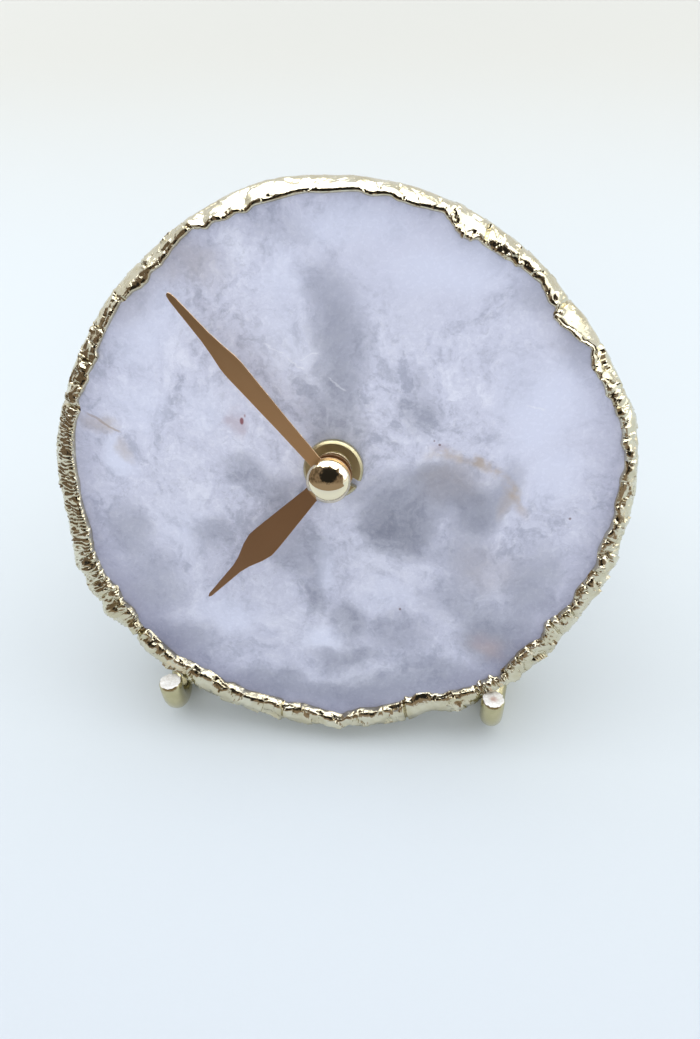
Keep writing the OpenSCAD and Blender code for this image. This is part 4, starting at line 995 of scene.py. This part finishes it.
sky = Finish("bright_ceiling", Base_Color=(0, 0, 0, 1), Specular_IOR_Level=0.0)
sky.give(Emission_Color=(1, 1, 1, 1), Emission_Strength=3.4)
ceiling_width, ceiling_depth = 2.2, 1.5
bpy.ops.mesh.primitive_plane_add(size=1, location=(0, 0.55, 1.0))
bpy.context.object.scale = (ceiling_width, ceiling_depth, 1)
bpy.context.view_layer.update()
reflector("ceiling_light", sky)

# The dark sheet is cut from a ball round the clock. What stays is what a mirror ball at the
# shaft would show the camera inside a ragged oval, measured as shares of the ball's radius.
card_r = 0.22
card_foot = 2 * mm
oval_x, oval_y = -0.18, -0.1
oval_half_width, oval_half_height = 0.72, 0.54
bpy.ops.mesh.primitive_uv_sphere_add(segments=256, ring_count=160, radius=card_r,
                                     location=shaft)
card = bpy.context.object
select(card)
open_mesh()
bpy.ops.mesh.select_mode(type="FACE")
bpy.ops.mesh.select_all(action="DESELECT")
close_mesh()
to_view = (view_place - shaft).normalized()
view_side = view_ahead.cross(view_up)
view_rise = view_side.cross(to_view) * -1
for polygon in card.data.polygons:
    way = polygon.center.normalized()
    bend = math.sqrt(max(0.001, 2 + 2 * way.dot(to_view)))
    across, rise = way.dot(view_side) / bend, way.dot(view_rise) / bend
    taller = oval_half_height - 0.25 * min(0, across + 0.3)
    inside = ((across - oval_x) / oval_half_width) ** 2 + ((rise - oval_y) / taller) ** 2
    ragged = 1 + 0.35 * noise.noise(way * 3.3)
    polygon.select = inside > ragged or polygon.center.z + shaft.z < card_foot
open_mesh()
bpy.ops.mesh.delete(type="FACE")
close_mesh()
shade_card = Finish("shade_card", Base_Color=(0, 0, 0, 1), Specular_IOR_Level=0.0)
card_way = shade_card.vector("NORMALIZE",
                             shade_card.vector("SUBTRACT", shade_card.place, shaft))
card_side, card_rise, card_ahead = (shade_card.vector("DOT_PRODUCT", card_way, axis)
                                    for axis in (view_side, view_rise, to_view))
card_bend = (card_ahead * 2 + 2).most(0.001) ** 0.5
mirrored_x, mirrored_y = card_side / card_bend, card_rise / card_bend
off_x, off_y = mirrored_x + 0.03, mirrored_y - 0.12
blotch = shade_card.noise(70, 3, 0.6)
core = ((off_x * off_x) / 0.11 + (off_y * off_y) / 0.1) ** 0.5 + (blotch - 0.5) * 1.4
brown = shade_card.mix(shade_card.step(shade_card.noise(45, 3), 0.4, 0.6),
                       (0.11, 0.08, 0.055, 1), (0.23, 0.17, 0.125, 1))
fawn_below = shade_card.mix(shade_card.step(mirrored_y, -0.1, -0.24), brown,
                            (0.33, 0.26, 0.2, 1))
shade_card.give(Emission_Color=shade_card.mix(shade_card.step(core, 0.8, 1.15),
                                              (0.02, 0.018, 0.016, 1), fawn_below),
                Emission_Strength=1.0)
reflector("shade_card", shade_card)

# The room is dimmer to what lights the clock than to the camera, metal and glass
room_light, room_seen = 0.55, 0.9
world = bpy.data.worlds.new("studio")
scene.world = world
world.use_nodes = True
nodes, links = world.node_tree.nodes, world.node_tree.links
paths = nodes.new("ShaderNodeLightPath")
seen = paths.outputs["Is Camera Ray"]
for ray in ("Is Transmission Ray", "Is Glossy Ray"):
    either = nodes.new("ShaderNodeMath")
    either.operation = "MAXIMUM"
    links.new(seen, either.inputs[0])
    links.new(paths.outputs[ray], either.inputs[1])
    seen = either.outputs[0]
level = nodes.new("ShaderNodeMapRange")
links.new(seen, level.inputs["Value"])
level.inputs["To Min"].default_value = room_light
level.inputs["To Max"].default_value = room_seen
links.new(level.outputs[0], nodes["Background"].inputs["Strength"])
nodes["Background"].inputs["Color"].default_value = (0.97, 0.985, 1.0, 1)

import json
